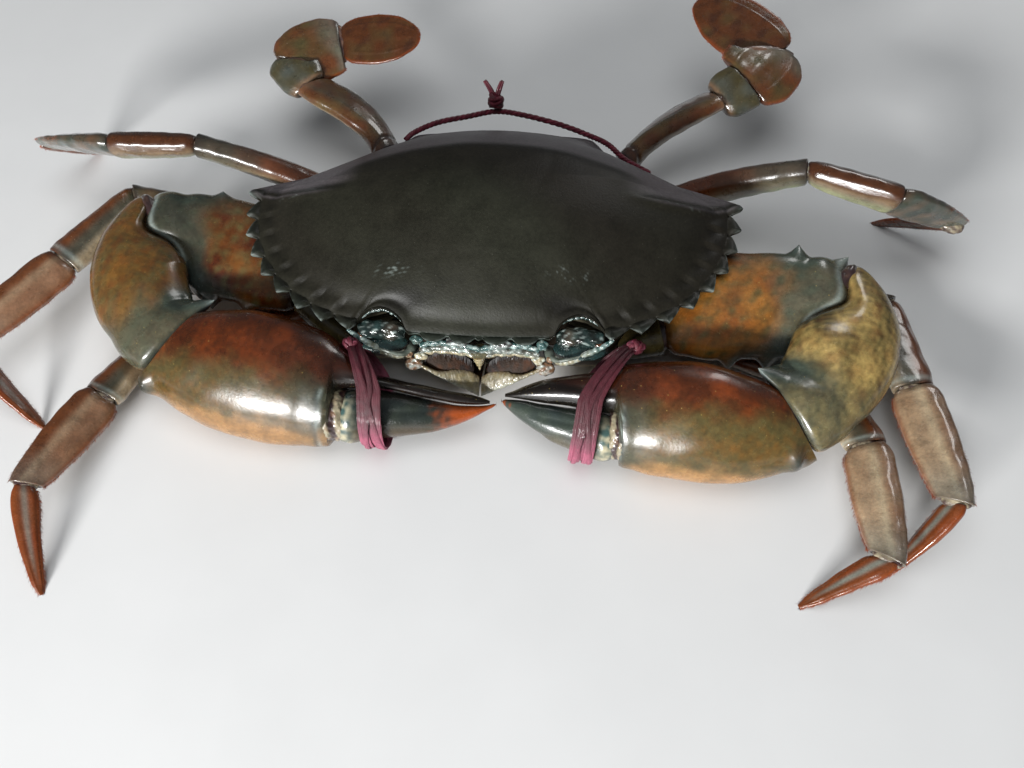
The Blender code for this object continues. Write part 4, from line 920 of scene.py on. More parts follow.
def make_mouth(colours):
    """Between carapace and mouth legs: wet epistome folds, brown hollows with a comb fringe, the lumps at
    both ends of the mouth, and each orbit's beaded upper rim, smooth floor and pale lower rim."""
    # Thin shell under a film of water: reads as glossy, lumpy and finely stained
    wet = finish_material("wet_face_shell", mottle=0.35, patch=1.4, fine=0.5, rough=0.20, wet=1.0, soft=0.1,
                          grain=0.16, grain_size=0.8)
    back, face = MOUTH_BACK, MOUTH_FACE
    grids, tints = [], []
    for side in (1, -1):
        for height, deep, radius, *names in FACE_FOLDS:
            colour, second = (getattr(colours, name) for name in names)
            line = smooth_line([(x * side, deep + dy, height + dz) for x, dy, dz in FOLD_LINE], 60)
            grid = tube(line, (radius, radius * 1.15, radius * 0.8), 16, 0.9)
            grids.append(raised(grid, 0.26 * waves(grid, 2.3, 7) + 0.10 * waves(grid, 0.9, 8)))
            # Where the second colour is rim, its pale patches are painted glints
            tints.append(paint(grid, colour * 0.6, (second, 0.1 + 0.6 * waves(grid, 2.4, 9)),
                               (colours.lens, np.clip(waves(grid, 3.1, 10), 0, 1) * 0.5)))
        for centre, radii, *names in FACE_LUMPS:
            colour, second = (getattr(colours, name) for name in names)
            grid = ball(np.array(centre) * (side, 1, 1), radii, 22, 32, lumps=0.35, lump_size=1.9, seed=6)
            grids.append(grid)
            # Where the second colour is rim, its pale patches are painted glints
            tints.append(paint(grid, colour * 0.65, (second, 0.1 + 0.5 * waves(grid, 1.6, 3))))
    middle = smooth_line(FACE_WEDGE, 30)
    grid = raised(tube(middle, (3.9, 2.9, 1.4, 0.3), 20, 0.6), 0.12 * waves(middle[:, None], 1.5, 4))
    grids.append(grid)
    tints.append(paint(grid, colours.ivory * 0.6, (colours.straw, 0.4 + 0.4 * waves(grid, 2.0, 5))))
    add_piece("face_ridges", grids, tints, wet)

    grids, tints = [], []
    for side in (1, -1):
        wide = unit((side, 0.05, 0.24))
        grid = ball(HOLLOW * (side, 1, 1), (7.2, 3.6, 0.8), 26, 48, (wide, back, face))
        inner = HOLLOW[0] - np.abs(grid[..., 0])
        upper = step(-0.5, 2.5, (grid - HOLLOW * (0, 1, 1)) @ back)
        grid = raised(grid, 0.22 * np.sin(grid[..., 0] * 4.2) * upper)
        grids.append(grid)
        # Painted shade, partly: the brown mouthparts are darker toward the middle, deeper in the hollow
        tints.append(paint(grid, colours.lens * 0.4, (colours.dark * 0.5, step(0.5, 5.0, inner) * 0.8),
                           (colours.brown, np.clip(waves(grid, 3.0, 2), 0, 1) * 0.3)))
    # Dull skin inside the mouth: reads as a dark brown hollow without highlights
    lens = finish_material("mouth_lining", mottle=0.35, patch=1.5, fine=0.4, rough=0.6, wet=0.0, grain=0.1,
                           shine=0.2)
    add_piece("mouth_hollows", grids, tints, lens)

    grids, tints = [], []
    for side in (1, -1):
        t = np.linspace(0, 1, 90)
        x = (ORBIT[0] - 0.6 + (ORBIT[1] - ORBIT[0] + 1.4) * t) * side
        y = orbit_edge(t) + 0.4
        upper = np.column_stack((x, y, rim_z(y) - 1.1 + roof_lift(x, y)))
        grid = tube(upper, (0.3, 0.4, 0.4, 0.3), 14)
        beads = np.clip(0.5 + waves(grid, 1.3, 19), 0, 1)
        grids.append(raised(grid, 0.25 * beads))
        # Painted glints: pale flecks on the beads in the rim colour
        tints.append(paint(grid, colours.teal * 0.25, (colours.rim, (beads - 0.35) * 0.6)))
        low = smooth_line(np.array(LOWER_RIM) * (side, 1, 1), 90)
        grid = tube(low, (0.8, 1.0, 0.9, 0.7, 0.4), 16)
        grids.append(raised(grid, 0.16 * np.abs(np.sin(t * 38))[:, None]))
        # Painted glints: pale flecks in the rim colour over the ivory ridge
        tints.append(paint(grid, colours.ivory * 0.6,
                           (colours.teal * 0.6, 0.2 + 0.8 * step(0.35, 0.8, t)[:, None]),
                           (colours.rim, 0.15 + 0.4 * waves(grid, 2.0, 2))))
        grid = ball((27.5 * side, -38.6, 21.3), (7.4, 3.9, 1.3), 26, 44, lumps=0.15, lump_size=3, seed=9)
        grids.append(grid)
        tints.append(paint(grid, colours.teal * 0.35,
                           (colours.shell * 0.5, 0.4 + 0.4 * waves(grid, 6.0, 2))))
    add_piece("orbit_rims", grids, tints, wet)

    draw = np.random.default_rng(31)
    along = np.concatenate((np.linspace(-15.0, -2.6, 44), np.linspace(2.6, 15.0, 44)))
    count = len(along)
    off = (np.abs(along) - HOLLOW[0]) / HOLLOW_HALF
    reach = 3.5 * np.sqrt(np.clip(1 - off ** 2, 0.05, 1))
    centre = np.column_stack((along, np.full(count, HOLLOW[1]),
                              HOLLOW[2] + 0.24 * (np.abs(along) - HOLLOW[0])))
    roots = centre + back * reach[:, None] + face * 0.8
    ways = -back + draw.normal(0, 0.10, (count, 3)) + face * 0.15
    hairs, spots = tufts(roots, ways, draw.uniform(1.2, 2.2, count), 0.20, (0, 0, -0.1),
                         np.column_stack(((along + 20) / 40, np.full(count, 0.5))))
    add_piece("mouth_fringe", hairs, [colours.dark * 0.7] * count, hair_finish(), places=spots)


# Eyestalk and feeler: places along them, and rows of fraction, half breadth and half thickness; the cornea's
# middle
STALK_PATH = np.array(((21.8, -36.8, 23.2), (27.6, -36.4, 24.4), (33.4, -37.4, 23.8)))
STALK_TABLE = ((-0.08, 1.4, 1.2), (0.0, 2.1, 1.7), (0.2, 2.7, 2.1), (0.5, 2.6, 2.2), (0.8, 2.5, 2.2),
               (0.98, 1.9, 1.8), (1.04, 1.0, 0.9))
CORNEA = np.array((32.6, -38.6, 23.4))
FEELER_PATH = np.array(((18.8, -37.95, 18.8), (19.6, -44.5, 21.2), (24.0, -43.4, 22.4), (27.5, -42.5, 23.2)))
FEELER_TABLE = ((0.0, 1.6, 1.5), (0.12, 1.6, 1.5), (0.25, 0.9, 0.9), (0.5, 0.55, 0.55), (0.8, 0.4, 0.4),
                (1.0, 0.25, 0.25))


def make_eyes(colours):
    """Folded eye: a dark glassy stalk that fills the orbit, its small brown cornea low at the outer end."""
    # Wet smooth stalk shell: reads as black-green glass, with wavy pale lines painted on as reflections
    stalk_finish = finish_material("eyestalk", mottle=0.3, patch=1.5, rough=0.14, wet=1.0, grain=0.12,
                                   grain_size=1.0)
    # Clear cornea: reads as a dark brown bead with one sharp highlight
    cornea_finish = finish_material("cornea", mottle=0.1, patch=0.8, rough=0.06, wet=1.0, grain=0.004)
    for label, side in SIDES:
        path = STALK_PATH * (side, 1, 1)
        grid, s = cut_lines(limb_lines(path, (0, 1.0, 0.3), STALK_TABLE, 48), 70, None, None)
        grid = raised(grid, 0.30 * waves(grid, 3.4, 21) + 0.10 * waves(grid, 1.1, 22))
        # Painted reflections: wavy pale lines on the dark glassy stalk
        reflection_streaks = np.clip(waves(grid * (0.5, 1.0, 1.0), 1.6, 23) - 0.35, 0, 1)
        tint = paint(grid, colours.shell * 0.45, (colours.teal * 0.4, 0.35 + 0.3 * waves(grid, 4.0, 5)),
                     (colours.rim, reflection_streaks * 0.8), (colours.pink, bell(s, 0.30, 0.12) * 0.15))
        add_piece(f"eyestalk_{label}", [grid], [tint], stalk_finish, (f"eye_{label}",))
        axes = ((0, 0, 1), (0, 1, 0), (side, 0, 0))
        grid = ball(CORNEA * (side, 1, 1), (1.35, 1.25, 1.6), 28, 40, axes)
        tint = paint(grid, colours.eye, (colours.brown, 0.35 + 0.3 * waves(grid, 1.6, 3)))
        add_piece(f"cornea_{label}", [grid], [tint], cornea_finish)


def make_antennae(colours):
    """Outer feelers: a thick base that narrows to a ringed whip laid out along the orbit."""
    # Thin wet shell: reads as grey-green rings with small highlights
    finish = finish_material("antenna_shell", mottle=0.3, patch=1.2, rough=0.3, wet=0.8, grain=0.05)
    for label, side in SIDES:
        path = FEELER_PATH * (side, 1, 1)
        grid, s = cut_lines(limb_lines(path, (0, 0, 1), FEELER_TABLE, 24), 90, None, None)
        rings = np.sin(s * 170) * step(0.25, 0.35, s)
        grid = raised(grid, 0.04 * rings)
        tint = paint(grid, colours.grey, (colours.green, 0.5 + 0.5 * waves(grid, 3.0, 1)),
                     (colours.dark, np.clip(rings, 0, 1) * 0.4))
        add_piece(f"antenna_{label}_whip", [grid], [tint], finish, (f"antenna_{label}",))


# Claws

# Joints of each folded claw; H runs up the palm's broad face, tilted in degrees, and T through it. Palm and
# finger rows: fraction along the axis, low and high edge along H, half thickness along T; the row at the
# knuckle. Strap: fraction, low, high and half thickness. Spines and teeth: fraction along the arm and reach
# from its middle line. Arm and wrist tables: fraction, half breadth, half thickness and shift. The facet of
# the trunk's wall that the root starts on; the elbow's weight of the second way and its lobe's reach
PALM_TILT = 40.0
PALM_POWER = 0.92
KNUCKLE_ROW = 8
PALM_H = toward(90, PALM_TILT)
PALM_T = toward(-90, 90 - PALM_TILT)
MERUS_BROAD = toward(90, 32)
ROOT_BROAD = toward(90, 8)
CARPUS_THIN = toward(-90, 66)
CLAWS = {
    "left": dict(side=1, root=(40.6, -27.5, 13.0), ischium=(50.0, -25.5, 14.0), elbow=(98.5, -17.0, 20.5),
                 turn=(110.5, -36.0, 19.5), wrist=(84.5, -54.0, 16.5), wrist_normal=(-0.85, -0.37, -0.37),
                 palm_start=(87.5, -58.0, 12.8), knuckle=(39.0, -55.0, 13.0), tip=(6.4, -49.5, 12.0),
                 inner_spine=(76.0, -46.0, 25.0), rear_spines=((0.74, 17.4), (1.06, 10.2)),
                 strap=(1.31, -13.1, 12.4, 9.2),
                 strap_apex=(42.4, -38.2, 22.6),
                 palm=((-0.08, -6.0, 3.0, 4.0), (-0.02, -8.0, 6.0, 6.0), (0.08, -9.8, 9.8, 8.2),
                       (0.2, -12.2, 12.9, 9.8), (0.38, -14.7, 15.6, 11.0), (0.58, -15.2, 17.1, 11.3),
                       (0.78, -15.0, 16.3, 10.5), (0.93, -13.6, 15.0, 9.3), (1.0, -12.8, 14.2, 8.8),
                       (1.03, 0.8, 13.2, 6.8), (1.2, 0.8, 11.3, 5.6), (1.4, 0.7, 9.5, 4.8),
                       (1.6, 0.6, 7.6, 4.0), (1.78, 0.5, 4.6, 3.0), (1.9, 0.4, 2.3, 1.8),
                       (1.97, 0.3, 1.2, 0.6)),
                 finger=((1.04, -12.6, 0.2, 6.6), (1.1, -12.9, 0.4, 6.8), (1.3, -11.8, 0.3, 6.0),
                         (1.55, -9.7, 0.2, 4.8), (1.74, -7.0, 0.1, 3.6), (1.88, -4.2, 0.0, 2.2),
                         (1.96, -2.4, -0.3, 1.2), (2.0, -1.4, -0.6, 0.5))),
    "right": dict(side=-1, root=(-40.6, -27.5, 13.0), ischium=(-53.5, -16.5, 14.0),
                  elbow=(-102.0, 1.0, 20.5), turn=(-113.5, -21.0, 19.5), wrist=(-88.5, -39.0, 16.5),
                  wrist_normal=(0.77, -0.42, -0.48), palm_start=(-95.0, -43.0, 12.8),
                  knuckle=(-40.0, -53.0, 13.0), tip=(4.6, -50.0, 12.0), inner_spine=(-77.5, -30.5, 25.0),
                  rear_spines=((0.55, 18.8),),
                  strap=(1.28, -12.8, 10.4, 9.0), strap_apex=(-35.2, -41.2, 22.6),
                  palm=((-0.08, -6.0, 4.0, 4.0), (-0.02, -8.0, 7.5, 6.0), (0.08, -10.0, 11.5, 8.2),
                        (0.2, -13.0, 15.2, 10.0), (0.38, -15.6, 18.2, 11.3), (0.58, -16.4, 20.2, 11.8),
                        (0.78, -15.6, 19.6, 11.0), (0.93, -14.0, 18.0, 9.6), (1.0, -13.0, 16.4, 8.8),
                        (1.03, 2.2, 15.2, 6.8), (1.12, 3.0, 12.0, 5.8), (1.24, 3.1, 7.4, 4.8),
                        (1.4, 2.0, 5.2, 4.0), (1.6, 0.1, 3.2, 3.2), (1.78, -1.4, 1.6, 2.4),
                        (1.9, -1.6, 0.4, 1.5), (1.97, -1.4, -0.6, 0.5)),
                  finger=((1.04, -12.6, 1.6, 6.6), (1.12, -12.4, 2.5, 6.8), (1.26, -11.2, 2.5, 6.2),
                          (1.42, -10.5, 1.4, 5.6), (1.6, -9.5, -0.4, 4.6), (1.76, -7.5, -1.8, 3.6),
                          (1.88, -5.2, -2.0, 2.4), (1.96, -3.2, -1.8, 1.3), (2.01, -2.0, -1.2, 0.5))),
}
CLAWS = {label: {key: np.array(value) for key, value in claw.items()} for label, claw in CLAWS.items()}
MERUS_FRONT_SPINES = ((0.36, 15.0), (0.58, 17.6), (0.80, 18.0))
MERUS_TEETH = ((0.90, 14.4), (0.97, 13.0), (0.69, 16.2))
CLAW_FACET = 1
ISCHIUM_TABLE = ((-0.4, 6.8, 4.5), (0.3, 7.2, 4.6), (0.8, 7.4, 4.6), (1.4, 7.2, 4.5))
MERUS_TABLE = ((-0.08, 7.2, 4.6, 0.0), (0.08, 10.5, 5.2, 1.7), (0.3, 15.6, 6.0, 4.0), (0.6, 15.7, 6.3, 1.5),
               (0.85, 14.4, 6.2, -0.4), (1.02, 11.4, 5.4, -1.2), (1.16, 7.6, 3.8, -0.8))
CARPUS_TABLE = ((-0.22, 8.0, 4.2, 0.0), (-0.08, 11.8, 6.2, 0.0), (0.1, 13.2, 7.6, 1.0),
                (0.32, 13.6, 8.4, 1.0), (0.55, 13.6, 8.6, 1.0), (0.78, 13.2, 8.4, 0.8),
                (1.0, 12.2, 7.6, 0.3), (1.16, 9.6, 6.0, 0.0))
CARPUS_SHIFT = 1.3
ELBOW_TURN = 1.6
LOBE_REACH = 5.5


def bend_plane(a, b, c):
    """Normal of the plane that halves the bend a-b-c."""
    return unit(unit(np.subtract(b, a)) + unit(np.subtract(c, b)))


def elbow_normal(claw):
    """Normal of the plane that parts arm and wrist piece: the arm's way plus ELBOW_TURN times the next."""
    arm = unit(np.subtract(claw["elbow"], claw["ischium"]))
    return unit(arm + unit(np.subtract(claw["turn"], claw["elbow"])) * ELBOW_TURN)


def claw_axis(claw, fraction):
    """Point on the claw's axis: the palm is fraction 0 to 1 and the fingers 1 to 2."""
    start, knuckle, tip = (claw[k] for k in ("palm_start", "knuckle", "tip"))
    fraction = np.asarray(fraction, float)[..., None]
    return np.where(fraction <= 1, start + (knuckle - start) * fraction,
                    knuckle + (tip - knuckle) * (fraction - 1))


def claw_lines(claw, table, cols):
    """Fine lengthwise lines round palm or finger from (fraction, low, high, half thickness) rows."""
    t = np.linspace(table[0, 0], table[-1, 0], CLAW_LINE_ROWS)
    low, high, thick = (cubic(table[:, 0], table[:, k], t)[:, None, None] for k in (1, 2, 3))
    c, s = superellipse(turns(cols), PALM_POWER)
    middle = claw_axis(claw, t)[:, None] + PALM_H * (low + high) / 2
    return middle + PALM_H * (high - low) / 2 * c[None, :, None] + PALM_T * thick * s[None, :, None]


def claw_place(claw, grid):
    """Fraction along the claw's axis and height up its face, in millimetres, for each point."""
    start, knuckle, tip = (claw[k] for k in ("palm_start", "knuckle", "tip"))
    palm, finger = knuckle - start, tip - knuckle
    first = (grid - start) @ palm / (palm @ palm)
    second = 1 + (grid - knuckle) @ finger / (finger @ finger)
    along = np.where(first < 1, first, np.maximum(second, 1.0))
    return along, ((grid - claw_axis(claw, along)) * PALM_H).sum(axis=-1)


def lobed_elbow(grid, claw):
    """Arm and wrist piece near the elbow, both pushed on by one smooth field, so that the arm's upper end is
    a round lobe of LOBE_REACH mm lying in a bay of the wrist piece."""
    elbow, normal = claw["elbow"], elbow_normal(claw)
    offset = grid - elbow
    away = np.abs(offset @ normal)
    across = offset @ unit(MERUS_BROAD - normal * (MERUS_BROAD @ normal))
    above = step(-4.0, 2.0, offset[..., 2])
    amount = LOBE_REACH * (bell(across, 0.5, 6.0) - 0.35) * above * (1 - step(1.0, 13.0, away))
    return grid + normal * amount[..., None]


def make_arm(label, claw, colours, sizes, finish):
    """Ischium, merus and carpus: a short root, the broad spined arm and the horned wrist piece."""
    root, joint, elbow, wrist = (claw[k] for k in ("root", "ischium", "elbow", "wrist"))
    side, left = claw["side"], label == "left"
    lines = limb_lines([root, joint], ROOT_BROAD, ISCHIUM_TABLE, 72)
    grid, s = cut_lines(lines, 40, wall_plane(CLAW_FACET, side), (joint, bend_plane(root, joint, elbow)))
    grid = shaped_ends(grid, 0.6, 0.0, sizes.lip)
    tint = paint(grid, colours.olive, (colours.dark, 0.4 + 0.4 * waves(grid, 6.0, 2)))
    add_segment(f"claw_{label}", "ischium", grid, tint, finish)

    lines = limb_lines([joint, elbow], (ROOT_BROAD, MERUS_BROAD * 2.5), MERUS_TABLE, 132, power=0.95)
    grid, s = cut_lines(lines, 150, (joint, -bend_plane(root, joint, elbow)), (elbow, elbow_normal(claw)))
    grid = shaped_ends(grid, 0.8, 0.0, 3.2, 5.0)
    across = ((grid - joint - (elbow - joint) * s[..., None]) @ MERUS_BROAD) / 14
    crease = bell(s, 0.74 + 0.06 * across, 0.035) * step(-1.1, -0.2, across)
    grid = raised(grid, 0.16 * waves(grid, 12.0, 14) + 0.7 * bell(s, 0.88, 0.07) - 0.35 * crease)
    along = unit(elbow - joint)
    tips = [joint + (elbow - joint) * f - MERUS_BROAD * r + along * 2 for f, r in MERUS_FRONT_SPINES]
    tips += [joint + (elbow - joint) * f + MERUS_BROAD * r + along * 2 for f, r in claw["rear_spines"]]
    grid, spiny = spiked(grid, tips, 3.8, 1.5)
    teeth = [joint + (elbow - joint) * f - MERUS_BROAD * r for f, r in MERUS_TEETH]
    grid, toothed = spiked(grid, teeth, 1.8, 1.3)
    grid = lobed_elbow(grid, claw)
    blotch = waves(grid, 13.0, 22)
    spots = waves(grid, 5.0, 23)
    base, second = (colours.amber, colours.red) if left else (colours.red * 0.5, colours.amber * 0.6)
    lobe_tint = colours.green * (1.0 if left else 0.65)
    lobe = step(0.64, 0.80, s + 0.05 * blotch + 0.05 * across)
    knobs = step(-0.55, -0.95, across) * step(0.35, 0.6, s)
    # Painted highlight: a pale band on the ridge just before the elbow, and painted glints on the spine tips,
    # both in the rim colour
    crest_highlight = bell(s, 0.955, 0.018) * step(-1.2, -0.4, across)
    rear = step(0.62, 1.0, across) * step(0.3, 0.6, s)
    lower = step(0.0, -0.9, normals(grid)[..., 2])
    spot = bell(s, 0.46, 0.05) * bell(across, 0.35, 0.28)
    tint = paint(grid, base, (second, (0.15 if left else 0.35) + 0.45 * blotch),
                 (colours.olive * 0.8, 0.2 + 0.5 * spots + 0.3 * waves(grid, 2.2, 25)),
                 (colours.cream, lower * 0.8), (colours.dark, step(0.16, 0.0, s) * 0.7),
                 (colours.dark, spot * 0.5 * left), (lobe_tint, lobe * 0.85 + rear * 0.4),
                 (colours.slate, knobs * 0.75), (colours.slate, np.maximum(spiny, toothed) * 0.8),
                 (colours.dark, step(0.97, 1.0, s) * 0.7),
                 (colours.rim, spiny ** 4 * 0.35 + crest_highlight * 0.30))
    add_segment(f"claw_{label}", "merus", grid, tint, finish, 1.2)

    path = [elbow, claw["turn"], wrist]
    table = [(f, b, t, shift * -CARPUS_SHIFT * side) for f, b, t, shift in CARPUS_TABLE]
    lines = limb_lines(path, None, table, 144, thin=CARPUS_THIN)
    grid, s = cut_lines(lines, 140, (elbow, -elbow_normal(claw)), (wrist, claw["wrist_normal"]))
    grid = shaped_ends(grid, 0.6, 0.0, 2.4, 4.0)
    grid = raised(grid, 0.12 * waves(grid, 10.0, 31) + 0.45 * bell(s, 0.90, 0.05)
                  - 0.25 * bell(s, 0.80, 0.03))
    horn = claw["inner_spine"]
    middle = bezier(path, np.array(0.62))
    grid, bulge = spiked(grid, [horn + (middle - horn) * 0.40], 12.0, 1.0)
    grid, spiny = spiked(grid, [horn], 4.6, 1.35)
    grid = lobed_elbow(grid, claw)
    lower = step(0.1, -0.7, normals(grid)[..., 2])
    inward = step(0.25, 0.95, bulge)
    blotch = waves(grid, 11.0, 41)
    spots = waves(grid, 4.5, 42)
    base = colours.khaki if left else colours.ochre * 0.8
    low_end = step(0.60, 0.86, s + 0.05 * blotch)
    low_end = low_end * (0.7 if left else 0.75) * (1 - lower)
    # Painted glint: the horn's tip gets a pale fleck in the rim colour (last layer)
    tint = paint(grid, base, (colours.olive * 0.8, 0.4 + 0.45 * blotch + 0.35 * waves(grid, 2.4, 43)),
                 (colours.red, 0.1 + 0.3 * spots), (colours.cream, lower * 0.8),
                 (colours.green, inward * 0.75 + low_end), (colours.dark, step(0.05, 0.0, s) * 0.7),
                 (colours.slate, spiny * 0.9 + step(0.955, 1.0, s) * 0.7), (colours.rim, spiny ** 5 * 0.4))
    add_segment(f"claw_{label}", "carpus", grid, tint, finish, 1.2)


def make_hand(label, claw, colours, finish, finger_finish):
    """Palm with the fixed finger behind, and the movable finger below and in front of it."""
    left = label == "left"
    lines = claw_lines(claw, claw["palm"], 150)
    grid, s = cut_lines(lines, 190, (claw["wrist"], -claw["wrist_normal"]), None)
    along, height = claw_place(claw, grid)
    front = ((grid - claw_axis(claw, along)) * PALM_T).sum(axis=-1)
    low_face = step(6.0, 1.0, height)
    finger = step(1.0, 1.06, along)
    knob = bell(along, 0.045, 0.045) * bell(height, -5.5, 3.4) * step(0.0, 4.0, front)
    lift = (0.16 * waves(grid, 14.0, 51) + 0.15 * bell(along, 0.955, 0.035) * low_face
            - 0.08 * bell(along, 0.895, 0.030) * low_face + 1.9 * knob)
    lift -= 0.45 * bell(height, 7.0, 1.1) * step(0.95, 1.2, along) * step(1.75, 1.4, along)
    grid = grounded(raised(grid, lift))
    wander = 2.0 * waves(grid, 10.0, 61) + 0.8 * waves(grid, 3.0, 63)
    top = step(1.0, 10.0, height + wander)
    bottom = step(-5.5, -11.5, height + 1.5 * waves(grid, 7.0, 62) + (2.6 if left else 0.0))
    # Painted shadow: the upper distal part of the palm, under the front of the shell, is darkened
    shadow_under_shell = step(0.66, 0.98, along) * step(-3.0, 5.0, height)
    rear = step(2.0, -5.0, front)
    border = bell(along, 0.975, 0.016) * low_face
    fixed = colours.dark * (0.35 if left else 0.8)
    mottled = 0.3 * waves(grid, 2.0, 67)
    shade = 0.78 if left else 0.62
    far_end = step(0.80, 0.94, along) * step(9.0, 0.0, height) * (1 - bottom * 0.5)
    spots = waves(grid, 4.0, 64)
    flame = np.clip(0.25 + 0.8 * waves(grid, 12.0, 66) + mottled, 0, 1)
    tint = paint(grid, colours.olive,
                 (colours.ochre, bell(height, -4.0, 4.0) * 0.45 + 0.2 * spots + mottled),
                 (colours.red * 0.75, top * 0.95), (colours.orange, top * flame * 0.5),
                 (colours.cream, bottom * 0.9), (colours.red, rear * (1 - bottom) * 0.8),
                 (colours.dark, shadow_under_shell * 0.6), (colours.green, far_end * 0.65),
                 (colours.slate, knob * 0.9 + border * 0.7),
                 # Painted highlight: a thin pale line along the palm's end lip
                 (colours.rim, bell(along, 0.988, 0.006) * low_face * 0.4),
                 (fixed, finger * 0.94), (colours.red, finger * step(6.0, 10.0, height) * 0.25)) * shade
    foot = grid[0].mean(axis=0)
    grid = np.concatenate(((foot + (grid[0] - foot) * 0.6)[None], grid))
    tint = np.concatenate((tint[:1], tint))
    add_piece(f"claw_{label}_palm_shell", [grid], [tint], finish, (f"claw_{label}_palm",))

    lines = claw_lines(claw, claw["finger"], 110)
    grid, s = cut_lines(lines, 130, None, None)
    along, height = claw_place(claw, grid)
    grid = shaped_ends(grid, 0.8, 0.0, 1.2, 4.0)
    rails = bell(height, -3.0, 0.8) + bell(height, -8.0, 0.8)
    furrow = 0.35 * rails * step(1.08, 1.2, along) * step(1.8, 1.5, along)
    grid = grounded(raised(grid, 0.12 * waves(grid, 8.0, 71) - furrow))
    first, last = (1.92, 2.01) if left else (1.58, 1.82)
    tip = step(first, last, along + 0.05 * waves(grid, 3.0, 73))
    foot = step(1.17, 1.07, along)
    knuckles = np.clip(0.45 + 0.8 * waves(grid, 2.6, 74), 0, 1)
    under = step(-5.0, -11.0, height)
    upper = step(0.4, 1.2, height + 1.6 * (along - 1))
    ground, green = colours.slate * (1.0 if left else 0.45), colours.green * (0.8 if left else 0.4)
    tint = paint(grid, ground, (green, 0.5 + 0.4 * waves(grid, 7.0, 72)),
                 (colours.cream, under * 0.12), (colours.orange, tip * 0.9),
                 (colours.teal, foot * 0.5), (colours.ivory, foot * knuckles * 0.7),
                 (colours.dark, upper * 0.5))
    add_piece(f"claw_{label}_dactylus_shell", [grid], [tint], finger_finish,
              (f"claw_{label}_dactylus",))


def make_claw_joints(label, claw, colours, finish):
    """Soft skin of the root, elbow, wrist and knuckle; the knuckle's runs in three folds round the finger."""
    root, joint, elbow, wrist = (claw[k] for k in ("root", "ischium", "elbow", "wrist"))
    grids, tints = [], []
    for place, normal, broad, size in (
            (joint, bend_plane(root, joint, elbow), ROOT_BROAD, (6.4, 4.0, 2.6)),
            (elbow, elbow_normal(claw), MERUS_BROAD, (10.6, 4.8, 3.2)),
            (wrist, unit(claw["wrist_normal"]), PALM_H, (8.6, 6.0, 4.0))):
        through = unit(np.cross(normal, broad))
        axes = (unit(np.cross(through, normal)), through, normal)
        grid = ball(place, size, 40, 70, axes, 0.25, 2.0, 8)
        grids.append(grid)
        tints.append(paint(grid, colours.membrane * 0.6, (colours.pink, 0.2 * waves(grid, 3.0, 5))))
    last, first = claw["palm"][KNUCKLE_ROW], claw["finger"][0]
    t = np.linspace(0.955, first[0] + 0.045, 60)
    knots = (0.955, 1.0, first[0] + 0.045)
    low = np.interp(t, knots, (last[1] + 1.3, last[1] + 1.1, first[1] + 1.5))[:, None, None]
    thick = np.interp(t, knots, (last[3] - 0.9, last[3] - 1.0, first[3] - 0.4))[:, None, None]
    high = 2.6
    angle = turns(120)
    c, s = superellipse(angle, PALM_POWER)
    grid = (claw_axis(claw, t)[:, None] + PALM_H * (low + high) / 2
            + PALM_H * (high - low) / 2 * c[None, :, None] + PALM_T * thick * s[None, :, None])
    place = (t - t[0])[:, None] / (t[-1] - t[0])
    fold = np.sin(2 * np.pi * 1.6 * place + 1.2 * np.sin(angle * 2 + 0.6) + 0.7 * np.sin(angle * 5))
    grid = raised(grid, 0.25 * fold + 0.16 * waves(grid, 1.4, 81))
    grids.append(grid)
    tints.append(paint(grid, colours.membrane * 0.7,
                       (colours.ivory * 0.6, step(-0.4, 0.6, fold + 0.8 * waves(grid, 3.2, 82)) * 0.8),
                       (colours.pink, np.clip(waves(grid, 2.2, 83), 0, 1) * 0.5),
                       (colours.teal, step(0.4, 0.0, place) * 0.5)))
    grids = [grounded(grid, SKIN_GAP) for grid in grids]
    add_piece(f"claw_{label}_joint_skin", grids, tints, finish)


# Walking legs

# Hip, the trunk wall's normal there, (length, azimuth, elevation) of each segment and the way of its
# breadth. Section rows: fraction, half breadth and half thickness

